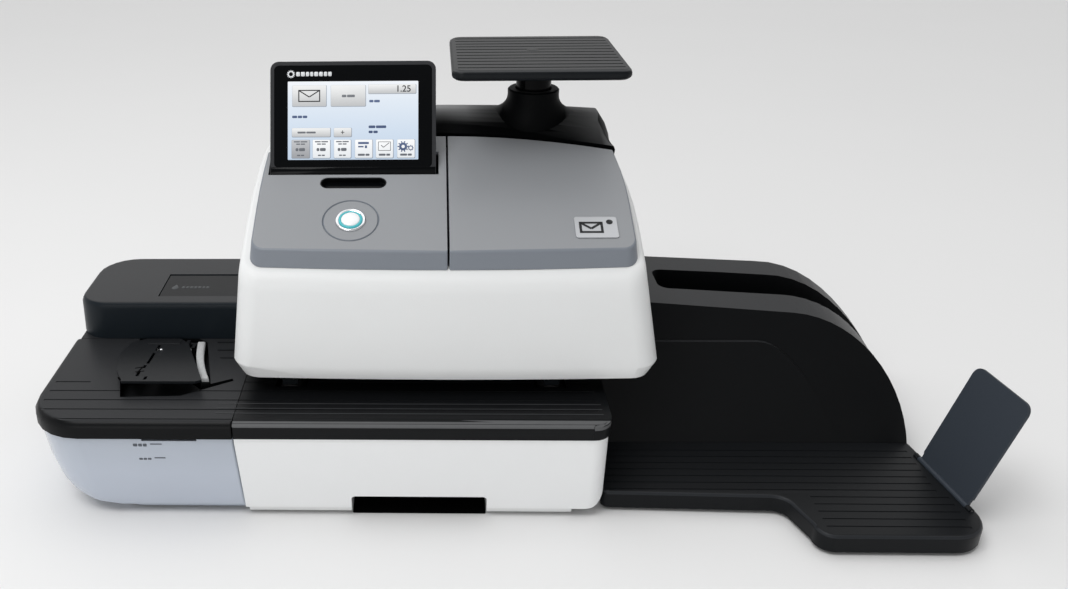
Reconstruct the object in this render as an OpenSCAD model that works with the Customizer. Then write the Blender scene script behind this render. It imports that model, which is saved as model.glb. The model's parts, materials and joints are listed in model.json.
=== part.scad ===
/* [Machine] */
// Greatest width of the upper housing
housing_w = 338; // [322:1:350]
// Depth from the front of the base to the back of the machine
machine_d = 238; // [230:1:260]
// Height of the letter deck above the desk
deck_z = 87; // [82:1:96]
// Height of the letter throat between deck and upper housing
throat_h = 15; // [13:0.5:20]
// Distance from the deck front to the wall that guides the letters
guide_y = 137; // [130:1:142]
// Wall of the moulded shells
wall = 3; // [2.5:0.1:3.5]
// Clearance between pieces that are fitted together
fit = 0.4; // [0.3:0.05:0.6]

/* [Base] */
// Width of the base
base_w = 288; // [276:1:296]
// How far the upper housing reaches past the base on the left
base_inset = 6; // [4:0.5:10]
// Height of the black lip at the deck front
lip_h = 14; // [12:0.5:16]
// Width of the hand-hold under the front
hold_w = 107; // [80:1:120]
// Height of the hand-hold above the desk
hold_z = 19; // [16:0.5:24]
// Pitch of the grooves in the letter decks
groove_pitch = 14; // [12:0.5:18]
// Width of one groove
groove_w = 2; // [1.5:0.1:2.5]
// Depth of one groove
groove_depth = 0.8; // [0.6:0.1:1.2]
// Height of the rubber feet
foot_h = 3.2; // [2.5:0.1:4]

/* [Transport] */
// Radius of the driven rollers
roller_r = 13; // [11:0.5:14]
// Radius of the pressure rollers
press_r = 8; // [7:0.5:9]
// Radius of the roller shafts
shaft_r = 4; // [3:0.25:5]
// Width of one roller
roller_w = 14; // [10:1:18]
// Distance between the entry and exit shafts
shaft_gap = 210; // [180:2:220]
// Radius of the pulleys on the roller shafts
pulley_r = 7; // [6:0.25:7.5]
// Radius of the motor's pulley
motor_pulley_r = 6; // [5:0.25:7]

/* [Upper housing] */
// Setback of the housing front behind the base front
housing_y = 38; // [34:1:44]
// Height of the front crease of the covers above the housing's lower edge
crease_h = 100.5; // [94:0.5:106]
// Setback of that crease behind the base front
crease_y = 62; // [60:1:66]
// Slope of the top covers in degrees
cover_slope = 24.3; // [22:0.1:26]
// Rise of the covers above the white rim
cover_rise = 14; // [12:0.5:16]
// Distance from the seam of the black rear cover to the back of the base
rear_d = 51.5; // [49:0.5:55]
// How far that seam bends forward at the sides
seam_bow = 18; // [12:0.5:20]
// How far the upper housing reaches past the back of the base
overhang = 16; // [12:1:20]
// Place of the seam between the two covers, right of the housing's middle
seam_x = 3; // [2:0.5:8]
// Gap between the two covers
seam_gap = 1.2; // [1:0.1:2]
// Rise of the rear cover's crest above the seam
crest_h = 16; // [12:0.5:18]

/* [Display] */
// Width of the display
display_w = 137; // [130:1:140]
// Height of the display above the cover
display_h = 92; // [84:1:100]
// Thickness of the display
display_t = 13; // [11:0.5:14]
// Lean of the display from upright in degrees
display_lean = 25.6; // [20:0.2:30]
// Width of the lit screen
screen_w = 108; // [100:1:112]
// Height of the lit screen
screen_h = 64.8; // [60:0.2:68]
// Margin below the lit screen
screen_margin = 11; // [9:0.5:13]
// Distance from the seam of the rear cover to the display's foot
display_back = 43.5; // [42.5:0.5:45]

/* [Button] */
// Radius of the start button
button_r = 7.5; // [6:0.25:8]
// Radius of the engraved ring round the button
ring_r = 22; // [19:0.5:24]
// Travel of the button
button_travel = 1.2; // [0.8:0.1:1.5]

/* [Scale] */
// Width of the weighing plate
plate_w = 143; // [130:1:160]
// Depth of the weighing plate
plate_d = 138; // [120:1:150]
// Thickness of the weighing plate at its rim
plate_t = 8.5; // [8:0.5:12]
// Height of the plate's top above the desk
plate_z = 322; // [316:1:335]
// Radius of the stem
stem_r = 15; // [12:0.5:16]
// Travel of the plate under its full load
scale_travel = 0.5; // [0.3:0.1:0.6]

/* [Moistener] */
// Width of the moistener
moist_w = 165; // [150:1:180]
// Radius of the deck's front corner
moist_r = 45; // [35:1:50]
// Height of the guide wall above the deck
box_h = 35; // [30:0.5:40]
// Travel of the water tank when it is pulled out
tank_travel = 120; // [90:5:120]
// Width of the filler lid
lid_w = 76; // [66:1:82]
// Depth of the filler lid
lid_d = 45; // [38:1:50]

/* [Catch tray] */
// Length of the tray from the base to its right edge
tray_l = 283; // [260:1:300]
// Height of the tray floor above the desk
tray_z = 18; // [15:0.5:22]
// How far the tray's front stands out past the base
tray_front = 43.5; // [38:0.5:50]
// Width of the part that stands out
tray_nose_w = 131; // [114:1:142]
// Distance from the base front to the foot of the ramp
ramp_y = 80; // [74:1:86]
// Height of the guard's left end above the desk
guard_z = 123.5; // [116:0.5:128]
// Radius of the guard's arch
guard_r = 100; // [92:1:104]
// Width of each guard rail
rail_w = 30; // [24:1:34]
// Height of the stop flap
flap_h = 92; // [80:1:105]
// Width of the stop flap
flap_w = 64.5; // [56:0.5:68]
// Lean of the stop flap from upright in degrees
flap_lean = 18.5; // [12:0.5:28]

/* [Hidden] */
$fn = 48;
arc_n = 6;
edge_n = 6;
eps = 0.01;

housing_half = housing_w / 2;
housing_z = deck_z + throat_h;
base_x0 = -housing_half + base_inset;
base_x1 = base_x0 + base_w;
base_mid = (base_x0 + base_x1) / 2;
lip_z = deck_z - lip_h;
pan_z = foot_h + 5;
skin_z = deck_z - wall;
cover_z = housing_z + crease_h;
slope = tan(cover_slope);
seam_y = machine_d - rear_d;
display_y = seam_y - display_back;

moist_x1 = base_x0 - 0.6;
moist_x0 = moist_x1 - moist_w;
box_z = deck_z + box_h;
box_x1 = -housing_half - 1.5;
tray_x0 = base_x1 + 0.5;
tray_x1 = base_x1 + tray_l;
guard_x0 = housing_half + 2;

stem_x = 77.5;
stem_y = seam_y + 26;
hinge_y = seam_y - 21.5;
hinge_drop = 5.2;
cover_x = housing_half - 16.5;
cover_right = cover_x - 3;
narrow_y = guide_y - 27;
narrow_left = 0.036;
narrow_right = 0.082;
rim_shift = -2.4;
pin_r = 1.8;
run = 0.05;

// Offsets that put the origin under the middle of the whole machine
flap_t = 2.4;
flap_r = 8;
flap_yaw = 7.5;
flap_x = tray_x1 - 6;
flap_y = -7.8;
flap_z = tray_z + fit;
reach_x0 = moist_x0;
reach_x1 = flap_x + ((flap_h - flap_r) * sin(flap_lean) + flap_t * cos(flap_lean)) * cos(flap_yaw)
    - flap_r * sin(flap_yaw) + flap_r * norm([sin(flap_lean) * cos(flap_yaw), sin(flap_yaw)]);
reach_y0 = -tray_front;
reach_y1 = stem_y + plate_d / 2;
origin_x = (reach_x0 + reach_x1) / 2;
origin_y = (reach_y0 + reach_y1) / 2;

// Height of the cover plane at a distance y behind the base front
function cover_at(y) = cover_z + slope * (y - crease_y);
// The rim follows the covers up to the seam and runs level behind it
function rim_at(y) = cover_at(min(y, seam_y)) - cover_rise;

function arc(c, r, a0, a1, n = arc_n) =
    [for (i = [0:n]) let (a = a0 + (a1 - a0) * i / n) [c[0] + r * cos(a), c[1] + r * sin(a)]];
// Rounded rectangle from its front left corner round; r holds the corner radii, ys extra places along the sides
function outline(x0, x1, y0, y1, r, ys = []) = concat(
    arc([x0 + r[0], y0 + r[0]], r[0], 180, 270),
    [for (i = [1:edge_n - 1]) [x0 + r[0] + (x1 - r[1] - x0 - r[0]) * i / edge_n, y0]],
    arc([x1 - r[1], y0 + r[1]], r[1], 270, 360),
    [for (y = ys) [x1, y]],
    arc([x1 - r[2], y1 - r[2]], r[2], 0, 90),
    [for (i = [1:edge_n - 1]) [x1 - r[2] - (x1 - r[2] - x0 - r[3]) * i / edge_n, y1]],
    arc([x0 + r[3], y1 - r[3]], r[3], 90, 180),
    [for (i = [len(ys) - 1:-1:0]) [x0, ys[i]]]);
// Swells the front of an outline towards the viewer
function bowed(points, y0, reach, bow, half) =
    [for (p = points) [p[0], p[1] - bow * (1 - pow(p[0] / half, 2)) * max(0, 1 - (p[1] - y0) / reach)]];
// Share of the full width that the housing keeps at a distance y behind the base front
function narrow(x, y) = 1 - (x < 0 ? narrow_left : narrow_right)
    * pow(max(0, min(y, seam_y + 4) - narrow_y) / (seam_y + 4 - narrow_y), 2);
function narrowed(points) = [for (p = points) [p[0] * narrow(p[0], p[1]), p[1]]];
// Bends the back of an outline forward along the seam
function seamed(points, y1, reach) =
    [for (p = points) [p[0], p[1] - (seam_y - seam_at(p[0])) * max(0, 1 - (y1 - p[1]) / reach)]];
function seam_at(x) = seam_y - seam_bow * pow(x / cover_x, 2);
function level(points, z) = [for (p = points) [p[0], p[1], z]];
function on_rim(points, drop) = [for (p = points) [p[0] + rim_shift, p[1], rim_at(p[1]) - drop]];
function on_cover(points, drop) = [for (p = points) [p[0], p[1], cover_at(p[1]) - drop]];

// Skin over a list of rings; a closed loop has no caps, and hollow-edged caps fan out from two given hubs
module skin(rings, loop = false, hubs = []) {
    n = len(rings[0]);
    m = len(rings);
    points = concat([for (ring = rings) each ring], hubs);
    sides = [for (j = [0:(loop ? m - 1 : m - 2)], i = [0:n - 1])
        let (a = j * n + i, b = j * n + (i + 1) % n, k = (j + 1) % m, c = k * n + (i + 1) % n, d = k * n
            + i)
        each [[a, c, b], [a, d, c]]];
    flat = [[for (i = [0:n - 1]) i], [for (i = [n - 1:-1:0]) (m - 1) * n + i]];
    fans = [for (cap = flat, i = [0:n - 1]) [cap[i], cap[(i + 1) % n], m * n + (cap == flat[0] ? 0 : 1)]];
    polyhedron(points = points, faces = concat(sides, loop ? [] : len(hubs) > 0 ? fans : flat),
        convexity = 8);
}
module place() translate([-origin_x, -origin_y, 0]) children();
// Frame on the cover plane, with its Z along the cover's normal
module on_slope(x, y) translate([x, y, cover_at(y)]) rotate([cover_slope, 0, 0]) children();
// Frame of the display, with its Z up the display and its Y into its back
module at_display() translate([display_x, display_y, cover_at(display_y)]) rotate([-display_lean, 0, 0])
    children();
module along_x(x0, x1) translate([x0, 0, 0]) rotate([90, 0, 90]) linear_extrude(x1 - x0) children();
module along_y(y0, y1) translate([0, y1, 0]) rotate([90, 0, 0]) linear_extrude(y1 - y0) children();
module rod_x(x0, x1, y, z, r) translate([x0, y, z]) rotate([0, 90, 0]) cylinder(r = r, h = x1 - x0);
module rod_y(y0, y1, x, z, r) translate([x, y1, z]) rotate([90, 0, 0]) cylinder(r = r, h = y1 - y0);
module block(x0, x1, y0, y1, z0, z1) translate([x0, y0, z0]) cube([x1 - x0, y1 - y0, z1 - z0]);

white = [0.9, 0.91, 0.9];
black = [0.13, 0.13, 0.14];
grey = [0.56, 0.57, 0.59];
charcoal = [0.2, 0.2, 0.21];
steel = [0.72, 0.73, 0.75];
rubber = [0.1, 0.1, 0.1];

// Base
base_r = 14;
base_lean = 5;
module base_front(inset) {
    polygon(concat(
        [[base_x0 + inset, lip_z + eps], [base_x0 + base_lean + inset, pan_z]],
        arc([base_x1 - 1.5 - base_r - inset, pan_z + base_r], base_r, 270, 355),
        [[base_x1 - inset, lip_z + eps]]));
}
module base_plan(inset) polygon(outline(base_x0 + inset, base_x1 - inset, inset, machine_d - inset,
    [1, 13 - inset, 6, 2]));
module hold_cut(y1) along_y(-1, y1) polygon(concat(
    [[hold_x0, 0], [hold_x1, 0]], arc([hold_x1 - 3, hold_z - 3], 3, 0, 90),
        arc([hold_x0 + 3, hold_z - 3], 3, 90, 180)));
hold_x0 = base_mid - hold_w / 2 - 1;
hold_x1 = hold_x0 + hold_w;
hold_d = 26;
inlet_x = base_x0 + 60;
inlet_z = 34;
port_x = inlet_x + 50;
module inlet_cut(gap) block(inlet_x - 14 - gap, inlet_x + 14 + gap, machine_d - 20, machine_d + 1,
    inlet_z - 10.5 - gap, inlet_z + 10.5 + gap);
module port_cut(gap) block(port_x - 8 - gap, port_x + 8 + gap, machine_d - 20, machine_d + 1,
    inlet_z - 7 - gap, inlet_z + 7 + gap);
module base_shell() color(white) place() difference() {
    intersection() {
        linear_extrude(lip_z) base_plan(0);
        along_y(-1, machine_d + 1) base_front(0);
    }
    intersection() {
        translate([0, 0, -1]) linear_extrude(lip_z + 2) base_plan(wall);
        along_y(0, machine_d) translate([0, -eps]) union() {
            base_front(wall);
            translate([base_x0 + base_lean + wall, pan_z - 2])
                square([base_w - base_lean - 3 - base_r - 2 * wall, 10]);
            translate([base_x0 + wall, lip_z - 2]) square([base_w - 2 * wall, 4]);
        }
    }
    hold_cut(wall + 1);
    inlet_cut(0.2);
    port_cut(0.2);
}
pan_x0 = base_x0 + 7;
pan_x1 = base_x1 - 24;
module base_pan() color(white) place() difference() {
    block(pan_x0, pan_x1, 2.5, machine_d - 4, foot_h, pan_z);
    block(hold_x0, hold_x1, 0, hold_d, 0, pan_z + 1);
}
module hold_liner() color(black) place() {
    block(hold_x0 + fit, hold_x1 - fit, wall + fit, hold_d + 2, hold_z + 0.2, hold_z + 2.2);
    block(hold_x0 + fit, hold_x1 - fit, hold_d + fit, hold_d + 2, pan_z, hold_z + 0.2);
}
foot_r = 8;
moist_feet = [[moist_x0 + 18, guide_y + 5], [moist_x1 - 14, machine_d - 13]];
tray_feet = [[tray_x0 + 30, 22], [tray_x1 - 40, 18 - tray_front]];
guard_feet = [[tray_x0 + 30, machine_d - 11], [tray_x1 - 60, machine_d - 11]];
module rubber_feet() color(rubber) place() {
    for (x = [pan_x0 + 14, pan_x1 - 14], y = [20, machine_d - 22])
        translate([x, y, 0]) cylinder(r = foot_r, h = foot_h);
    for (p = concat(moist_feet, tray_feet, guard_feet))
        translate([p[0], p[1], 0]) cylinder(r = foot_r, h = foot_h);
}
// Side section of a letter deck: skin, rounded nose and front lip
module deck_section(y0, y1) {
    nose = 4;
    polygon(concat([[y0 + wall, lip_z], [y0 + wall, skin_z], [y1, skin_z], [y1, deck_z]],
        arc([y0 + nose, deck_z - nose], nose, 90, 180), [[y0, lip_z]]));
}
deck_end = guide_y - 0.5;
deck_front = -1;
roller_rows = [guide_y - 74, guide_y - 45, guide_y - 17];
shaft_x0 = base_mid - shaft_gap / 2;
shaft_x1 = base_mid + shaft_gap / 2;
module deck_grooves(x0, x1, rows) for (i = rows)
    block(x0, x1, 4 + i * groove_pitch, 4 + i * groove_pitch + groove_w, deck_z - groove_depth, deck_z + 1);
module base_deck() color(black) place() difference() {
    union() {
        intersection() {
            along_x(base_x0, base_x1) deck_section(deck_front, deck_end);
            translate([0, 0, lip_z - 1]) linear_extrude(lip_h + 2)
                polygon(outline(base_x0, base_x1, deck_front, deck_end, [1, 14, 2, 1]));
        }
        block(base_x1 - 4, base_x1 - 0.5, 16, deck_end, lip_z, skin_z);
        block(base_x0, base_x0 + wall, wall, deck_end, lip_z, skin_z);
    }
    deck_grooves(base_x0 - 1, base_x1 - 9, [1:8]);
    for (x = [shaft_x0, shaft_x1], y = roller_rows)
        block(x - roller_r, x + roller_r, y - roller_w / 2 - 1.5, y + roller_w / 2 + 1.5, skin_z - 1,
            deck_z + 1);
}
tower_x0 = base_x0 + 9;
tower_x1 = base_x1 - 7;
module tower_front(inset) {
    cut = base_r + 2;
    low = pan_z - (inset > 0 ? 1 : 0);
    polygon([[tower_x0 + inset, low], [tower_x1 - cut - inset, low], [tower_x1 - inset, low + cut],
        [tower_x1 - inset, housing_z - inset], [tower_x0 + inset, housing_z - inset]]);
}
module rear_tower() color(black) place() difference() {
    along_y(guide_y, machine_d - wall - 1) tower_front(0);
    along_y(guide_y + wall, machine_d - 2 * wall - 1) tower_front(wall);
    inlet_cut(0.6);
    port_cut(0.6);
}

// Letter transport
shaft_z = deck_z + 0.8 - roller_r;
plate_y0 = roller_rows[0] - roller_w / 2 - 9;
plate_y1 = roller_rows[2] + roller_w / 2 + 2;
plate_t2 = 2;
motor_x = base_mid;
motor_z = pan_z + 32;
belt_y = plate_y0 - 8;
belt_w = 5;
module chassis() color(steel) place() difference() {
    union() {
        block(shaft_x0 - 18, shaft_x1 + 14, plate_y0, plate_y1 + plate_t2, pan_z, pan_z + plate_t2);
        for (y = [plate_y0, plate_y1])
            block(shaft_x0 - 18, shaft_x1 + 14, y, y + plate_t2, pan_z, skin_z - 1);
    }
    for (x = [shaft_x0, shaft_x1])
        rod_y(plate_y0 - 1, plate_y1 + plate_t2 + 1, x, shaft_z, shaft_r + run);
    rod_y(plate_y0 - 1, plate_y0 + plate_t2 + 1, motor_x, motor_z, 6);
    for (i = [-1, 1])
        block(base_mid + i * 60 - 30, base_mid + i * 60 + 30, plate_y0 - 1, plate_y1 + 4, pan_z + 12,
            shaft_z - 18);
}
module shaft_at(x) rod_y(belt_y - 4, plate_y1 + plate_t2 + 2, x, shaft_z, shaft_r);
module rollers_at(x) for (y = roller_rows) difference() {
    rod_y(y - roller_w / 2, y + roller_w / 2, x, shaft_z, roller_r);
    rod_y(y - roller_w, y + roller_w, x, shaft_z, shaft_r + eps);
}
// Flanged pulley that turns about its own Y axis
module pulley(x, z, r, bore) translate([x, belt_y, z]) rotate([-90, 0, 0]) rotate_extrude()
    polygon([[bore, -2], [r + 1.8, -2], [r + 1.8, -0.6], [r, -0.6], [r, belt_w + 0.6],
        [r + 1.8, belt_w + 0.6],
        [r + 1.8, belt_w + 2], [bore, belt_w + 2]]);
module drive_shaft() color(steel) place() shaft_at(shaft_x0);
module drive_rollers() color(rubber) place() rollers_at(shaft_x0);
module drive_pulley() color(charcoal) place() pulley(shaft_x0, shaft_z, pulley_r, shaft_r + eps);
module exit_shaft() color(steel) place() shaft_at(shaft_x1);
module exit_rollers() color(rubber) place() rollers_at(shaft_x1);
module exit_pulley() color(charcoal) place() pulley(shaft_x1, shaft_z, pulley_r, shaft_r + eps);
module belt_loop(grow) hull() {
    for (x = [shaft_x0, shaft_x1]) translate([x, shaft_z]) circle(r = pulley_r + grow);
    translate([motor_x, motor_z]) circle(r = motor_pulley_r + grow);
}
module drive_belt() color(rubber) place() along_y(belt_y, belt_y + belt_w) difference() {
    belt_loop(1.4);
    belt_loop(0.3);
}
motor_r = 18;
module drive_motor() color(charcoal) place() {
    rod_y(plate_y0 + plate_t2, plate_y0 + plate_t2 + 44, motor_x, motor_z, motor_r);
    rod_y(plate_y0, plate_y0 + plate_t2, motor_x, motor_z, 5.5);
    rod_y(plate_y0 + plate_t2 + 44, plate_y0 + plate_t2 + 47, motor_x, motor_z, 7);
    block(motor_x - 20, motor_x + 20, plate_y0 + plate_t2, plate_y0 + plate_t2 + 40, pan_z + plate_t2,
        motor_z - 12);
}
module motor_pulley() color(steel) place() {
    pulley(motor_x, motor_z, motor_pulley_r, 0);
    rod_y(belt_y + belt_w + 2, plate_y0 - 0.3, motor_x, motor_z, 2.5);
}
module power_supply() color([0.2, 0.42, 0.25]) place() {
    x0 = tower_x0 + 12;
    y0 = guide_y + 14;
    d = machine_d - guide_y - 43;
    block(x0, x0 + 90, y0, y0 + d, pan_z + 5, pan_z + 6.6);
    for (x = [x0 + 5, x0 + 85], y = [y0 + 5, y0 + d - 5]) translate([x, y, pan_z]) cylinder(r = 3, h = 5);
    block(x0 + 10, x0 + 44, y0 + 8, y0 + d - 18, pan_z + 6.6, pan_z + 34);
    for (y = [y0 + 11, y0 + d - 11]) translate([x0 + 66, y, pan_z + 6.6]) cylinder(r = 8, h = 28);
}
module power_inlet() color(black) place() difference() {
    block(inlet_x - 14, inlet_x + 14, machine_d - 18, machine_d, inlet_z - 10.5, inlet_z + 10.5);
    difference() {
        along_y(machine_d - 15, machine_d + 1) translate([inlet_x, inlet_z])
            polygon([[-12, -8.5], [12, -8.5], [12, 4], [7.5, 8.5], [-7.5, 8.5], [-12, 4]]);
        for (p = [[-7, -2], [0, 2], [7, -2]])
            block(inlet_x + p[0] - 1, inlet_x + p[0] + 1, machine_d - 16, machine_d - 5.4,
                inlet_z + p[1] - 2, inlet_z + p[1] + 2);
    }
}
module network_port() color(steel) place() difference() {
    block(port_x - 8, port_x + 8, machine_d - 18, machine_d, inlet_z - 7, inlet_z + 7);
    block(port_x - 6, port_x + 6, machine_d - 14, machine_d + 1, inlet_z - 5, inlet_z + 4);
    block(port_x - 3, port_x + 3, machine_d - 14, machine_d + 1, inlet_z + 3, inlet_z + 5.5);
}

// Upper housing
bow = 4;
house_ys = [narrow_y, narrow_y + 20, narrow_y + 40, narrow_y + 60, seam_y, seam_y + 16];
// Plan of the housing drawn in by side, front and back insets
function house_plan(side, front, back, r) =
    let (y0 = housing_y + bow + front, y1 = machine_d + overhang - back)
    bowed(narrowed(outline(-housing_half + side, housing_half - side, y0, y1, [r, r, 20, 20], house_ys)),
        y0, r, bow, housing_half);
rim_side = 15;
rim_front = 21.5;
rim_back = 8;
// Width of the rim's ledge that the covers rest over
rim_ledge = 10;
// Insets and height of the sloped chin under the front face
chin_side = 6.5;
chin_front = 2.6;
chin_h = 11.4;
module upper_housing() color(white) place() difference() {
    housing_skin();
    translate([0, 0, cover_z]) linear_extrude(crease_h) intersection() {
        polygon(cover_plan(cover_split[1], cover_right, -0.6, 1, 1, 1, right_radii));
        translate([0, hinge_y - 5]) square([housing_half, rear_d]);
    }
}
module housing_skin() skin([
    level(house_plan(chin_side, chin_front, 4, 15), housing_z),
    level(house_plan(1.2, 0.4, 0.8, 17), housing_z + chin_h - 1.8),
    level(house_plan(0, 0, 0, 18), housing_z + chin_h),
    on_rim(house_plan(9.5, 11, 1, 17), 11),
    on_rim(house_plan(10.6, 13.6, 2.4, 16), 5),
    on_rim(house_plan(12.4, 17, 4.6, 14), 1.4),
    on_rim(house_plan(rim_side, rim_front, rim_back, 12), 0),
    on_rim(house_plan(rim_side + rim_ledge, rim_front + rim_ledge / 2, rim_back + rim_ledge / 2, 8), 0),
    on_rim(house_plan(rim_side + rim_ledge, rim_front + rim_ledge / 2, rim_back + rim_ledge / 2, 8), wall),
    on_rim(house_plan(rim_side + 1, rim_front + 1, rim_back + 1, 11), wall + 6),
    level(house_plan(wall + 1, wall + 0.5, wall, 16), housing_z + chin_h + 5),
    level(house_plan(chin_side + wall, chin_front + wall, 4 + wall, 13), housing_z)], true);
module throat_plan() polygon(house_plan(chin_side + wall + fit, chin_front + wall + fit, 4 + wall + fit,
    13));
module throat_plate() color(black) place() difference() {
    translate([0, 0, housing_z]) linear_extrude(2.6) throat_plan();
    for (x = [shaft_x0, shaft_x1], y = roller_rows)
        block(x - press_r - 2, x + press_r + 2, y - roller_w / 2 - 1.5, y + roller_w / 2 + 1.5,
            housing_z - 1, housing_z + 4);
    print_window(housing_z);
}
plate_top = housing_z + 2.6;
press_z = deck_z + 1.4 + press_r;
press_shaft_r = 3;
bracket_y = [roller_rows[0] - roller_w / 2 - 5, roller_rows[2] + roller_w / 2 + 1];
module pressure_brackets() color(charcoal) place() for (x = [shaft_x0, shaft_x1], y = bracket_y)
    difference() {
    block(x - 6, x + 6, y, y + 3, press_z - 5, housing_z);
    rod_y(y - 1, y + 4, x, press_z, press_shaft_r + run);
}
module press_set(x) {
    rod_y(bracket_y[0] - 1, bracket_y[1] + 4, x, press_z, press_shaft_r);
    for (y = roller_rows) rod_y(y - roller_w / 2, y + roller_w / 2, x, press_z, press_r);
}
module entry_pressure_rollers() color(charcoal) place() press_set(shaft_x0);
module exit_pressure_rollers() color(charcoal) place() press_set(shaft_x1);

// Sheet gantry that carries the display, the cover hinge and the scale
gantry_x = housing_half - 35;
gantry_y0 = seam_y - 28;
gantry_y1 = seam_y + 19;
gantry_z = cover_at(seam_y) - 42;
gantry_t = 3;
pivot_x = [seam_x + 10, seam_x + 92];
hinge_z = cover_at(hinge_y) - hinge_drop / cos(cover_slope);
display_x = -housing_half + 25.5;
foot_drop = 7;
foot_in = 7;
pin_y = display_y - foot_drop * sin(display_lean) + foot_in * cos(display_lean);
pin_z = cover_at(display_y) - foot_drop * cos(display_lean) - foot_in * sin(display_lean);
neck_x0 = display_x + 20;
neck_x1 = display_x + display_w - 20;
arm_x = [neck_x0 - 5, neck_x1 + 1];
module gantry() color(steel) place() difference() {
    union() {
        for (x = [-gantry_x, gantry_x - gantry_t])
            block(x, x + gantry_t, gantry_y0, gantry_y1, plate_top, gantry_z);
        block(-gantry_x, gantry_x, gantry_y0, gantry_y1, gantry_z - gantry_t, gantry_z);
        for (x = pivot_x) {
            block(x, x + 4, hinge_y - 4, hinge_y + 3, gantry_z, hinge_z);
            rod_x(x, x + 4, hinge_y, hinge_z, 3);
        }
        for (x = arm_x) along_x(x, x + 4) {
            translate([pin_y, pin_z]) circle(r = 4.6);
            polygon([[pin_y - 1, pin_z - 5], [pin_y + 4.5, pin_z + 1], [gantry_y0 + 4, gantry_z],
                [gantry_y0 + 4, gantry_z - gantry_t - 9]]);
        }
    }
    for (x = pivot_x) rod_x(x - 1, x + 5, hinge_y, hinge_z, pin_r + eps);
    for (x = arm_x) rod_x(x - 1, x + 5, pin_y, pin_z, pin_r + eps);
}

// Covers on the sloped top; l, r and b are the shares of the edge rounding at the left, right and back
cover_y0 = housing_y + bow + rim_front + 0.6;
cover_y1 = seam_y - 0.7;
function cover_plan(x0, x1, inset, l, r, b, radii) = narrowed(seamed(bowed(
    outline(x0 + inset * l, x1 - inset * r, cover_y0 + inset, cover_y1 - inset * b,
        [for (q = radii) max(0.8, q - inset * 0.5)], [narrow_y, narrow_y + 18, narrow_y + 36]),
    cover_y0 + inset, 14, bow, housing_half), cover_y1 - inset * b, 24));
module cover_skin(x0, x1, l, r, radii) {
    b = 0.6;
    skin([
        on_cover(cover_plan(x0, x1, wall + 2.4, l + (1 - l) * 0.6, r + (1 - r) * 0.6, b, radii), wall),
        on_cover(cover_plan(x0, x1, wall, 1, 1, 1, radii), cover_rise - fit),
        on_cover(cover_plan(x0, x1, 0, l, r, b, radii), cover_rise - fit),
        on_cover(cover_plan(x0, x1, 1.8, l, r, b, radii), 1.7),
        on_cover(cover_plan(x0, x1, 2.5, l, r, b, radii), 0.5),
        on_cover(cover_plan(x0, x1, 3.8, l, r, b, radii), 0)]);
}
left_radii = [10, 1, 1, 3];
right_radii = [1, 10, 3, 1];
cover_split = [seam_x - seam_gap / 2, seam_x + seam_gap / 2];
button_x = -housing_half + 95;
grip_y = display_y - 11.2;
button_y = (crease_y + grip_y) / 2 - 4;
grip_w = 54;
grip_r = 6.3;
slot_y = [display_y - 2.4, display_y + 23];
module grip_shape(grow, h) linear_extrude(h) hull() for (i = [-1, 1])
    translate([i * (grip_w / 2 - grip_r), 0]) circle(r = grip_r + grow);
module left_cover() color(grey) place() difference() {
    cover_skin(-cover_x, cover_split[0], 1, 0.1, left_radii);
    block(display_x - 1.4, display_x + display_w + 2.2, slot_y[0], slot_y[1], cover_z, cover_z + 90);
    on_slope(button_x, grip_y) translate([0, 0, -10]) grip_shape(0.2, 14);
    on_slope(button_x, button_y) {
        translate([0, 0, -10]) cylinder(r = bezel_r + 0.1, h = 14);
        rotate_extrude() polygon([[ring_r - 1, 0.2], [ring_r, -0.9], [ring_r + 1, 0.2]]);
    }
}
module grip_cup() color([0.04, 0.04, 0.045]) place() on_slope(button_x, grip_y) difference() {
    translate([0, 0, -6]) grip_shape(0, 5.8);
    translate([0, 0, -4.8]) grip_shape(-1, 10);
}
bezel_r = button_r + 4.6;
module button_bezel() color([0.85, 0.86, 0.88]) place() on_slope(button_x, button_y) rotate_extrude()
    polygon(concat([[button_r + 1.9, -3.5], [bezel_r, -3.5], [bezel_r, 0.2]],
        arc([bezel_r - 1.2, 0.2], 1.2, 0, 90), [[button_r + 1.9, 0.9]]));
module button_ring() color([0.1, 0.72, 0.78]) place() on_slope(button_x, button_y) rotate_extrude()
    polygon(concat([[button_r + 0.1, -3.5], [button_r + 1.86, -3.5], [button_r + 1.86, 1.0]],
        arc([button_r + 0.95, 1.0], 0.85, 0, 180)));
module start_button() color([0.93, 0.95, 0.95]) place() on_slope(button_x, button_y) rotate_extrude()
    polygon(concat([[0, -3.5], [button_r, -3.5], [button_r, 1.2]],
        [for (i = [1:8]) let (a = 90 * i / 8) [button_r * cos(a), 1.2 + 1.6 * sin(a)]]));
ear_x = [pivot_x[0] + 5, pivot_x[1] - 5];
module cartridge_cover() color(grey) place() difference() {
    union() {
        cover_skin(cover_split[1], cover_right, 0.1, 1, right_radii);
        for (x = ear_x) difference() {
            along_x(x, x + 4) {
                translate([hinge_y, hinge_z]) circle(r = 3.2);
                translate([hinge_y - 3.2, hinge_z]) square([6.4, 3.4]);
            }
        }
    }
    for (x = ear_x) rod_x(x - 1, x + 5, hinge_y, hinge_z, pin_r + run);
    for (x = pivot_x) on_slope(x, hinge_y) block(-0.8, 4.8, -7, seam_bow + 14, -cover_rise - 4, -wall / 2);
}
module cover_pins() color(steel) place() {
    rod_x(pivot_x[0], ear_x[0] + 5, hinge_y, hinge_z, pin_r);
    rod_x(ear_x[1] - 1, pivot_x[1] + 4, hinge_y, hinge_z, pin_r);
}
badge_w = 33;
badge_d = 22.5;
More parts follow.
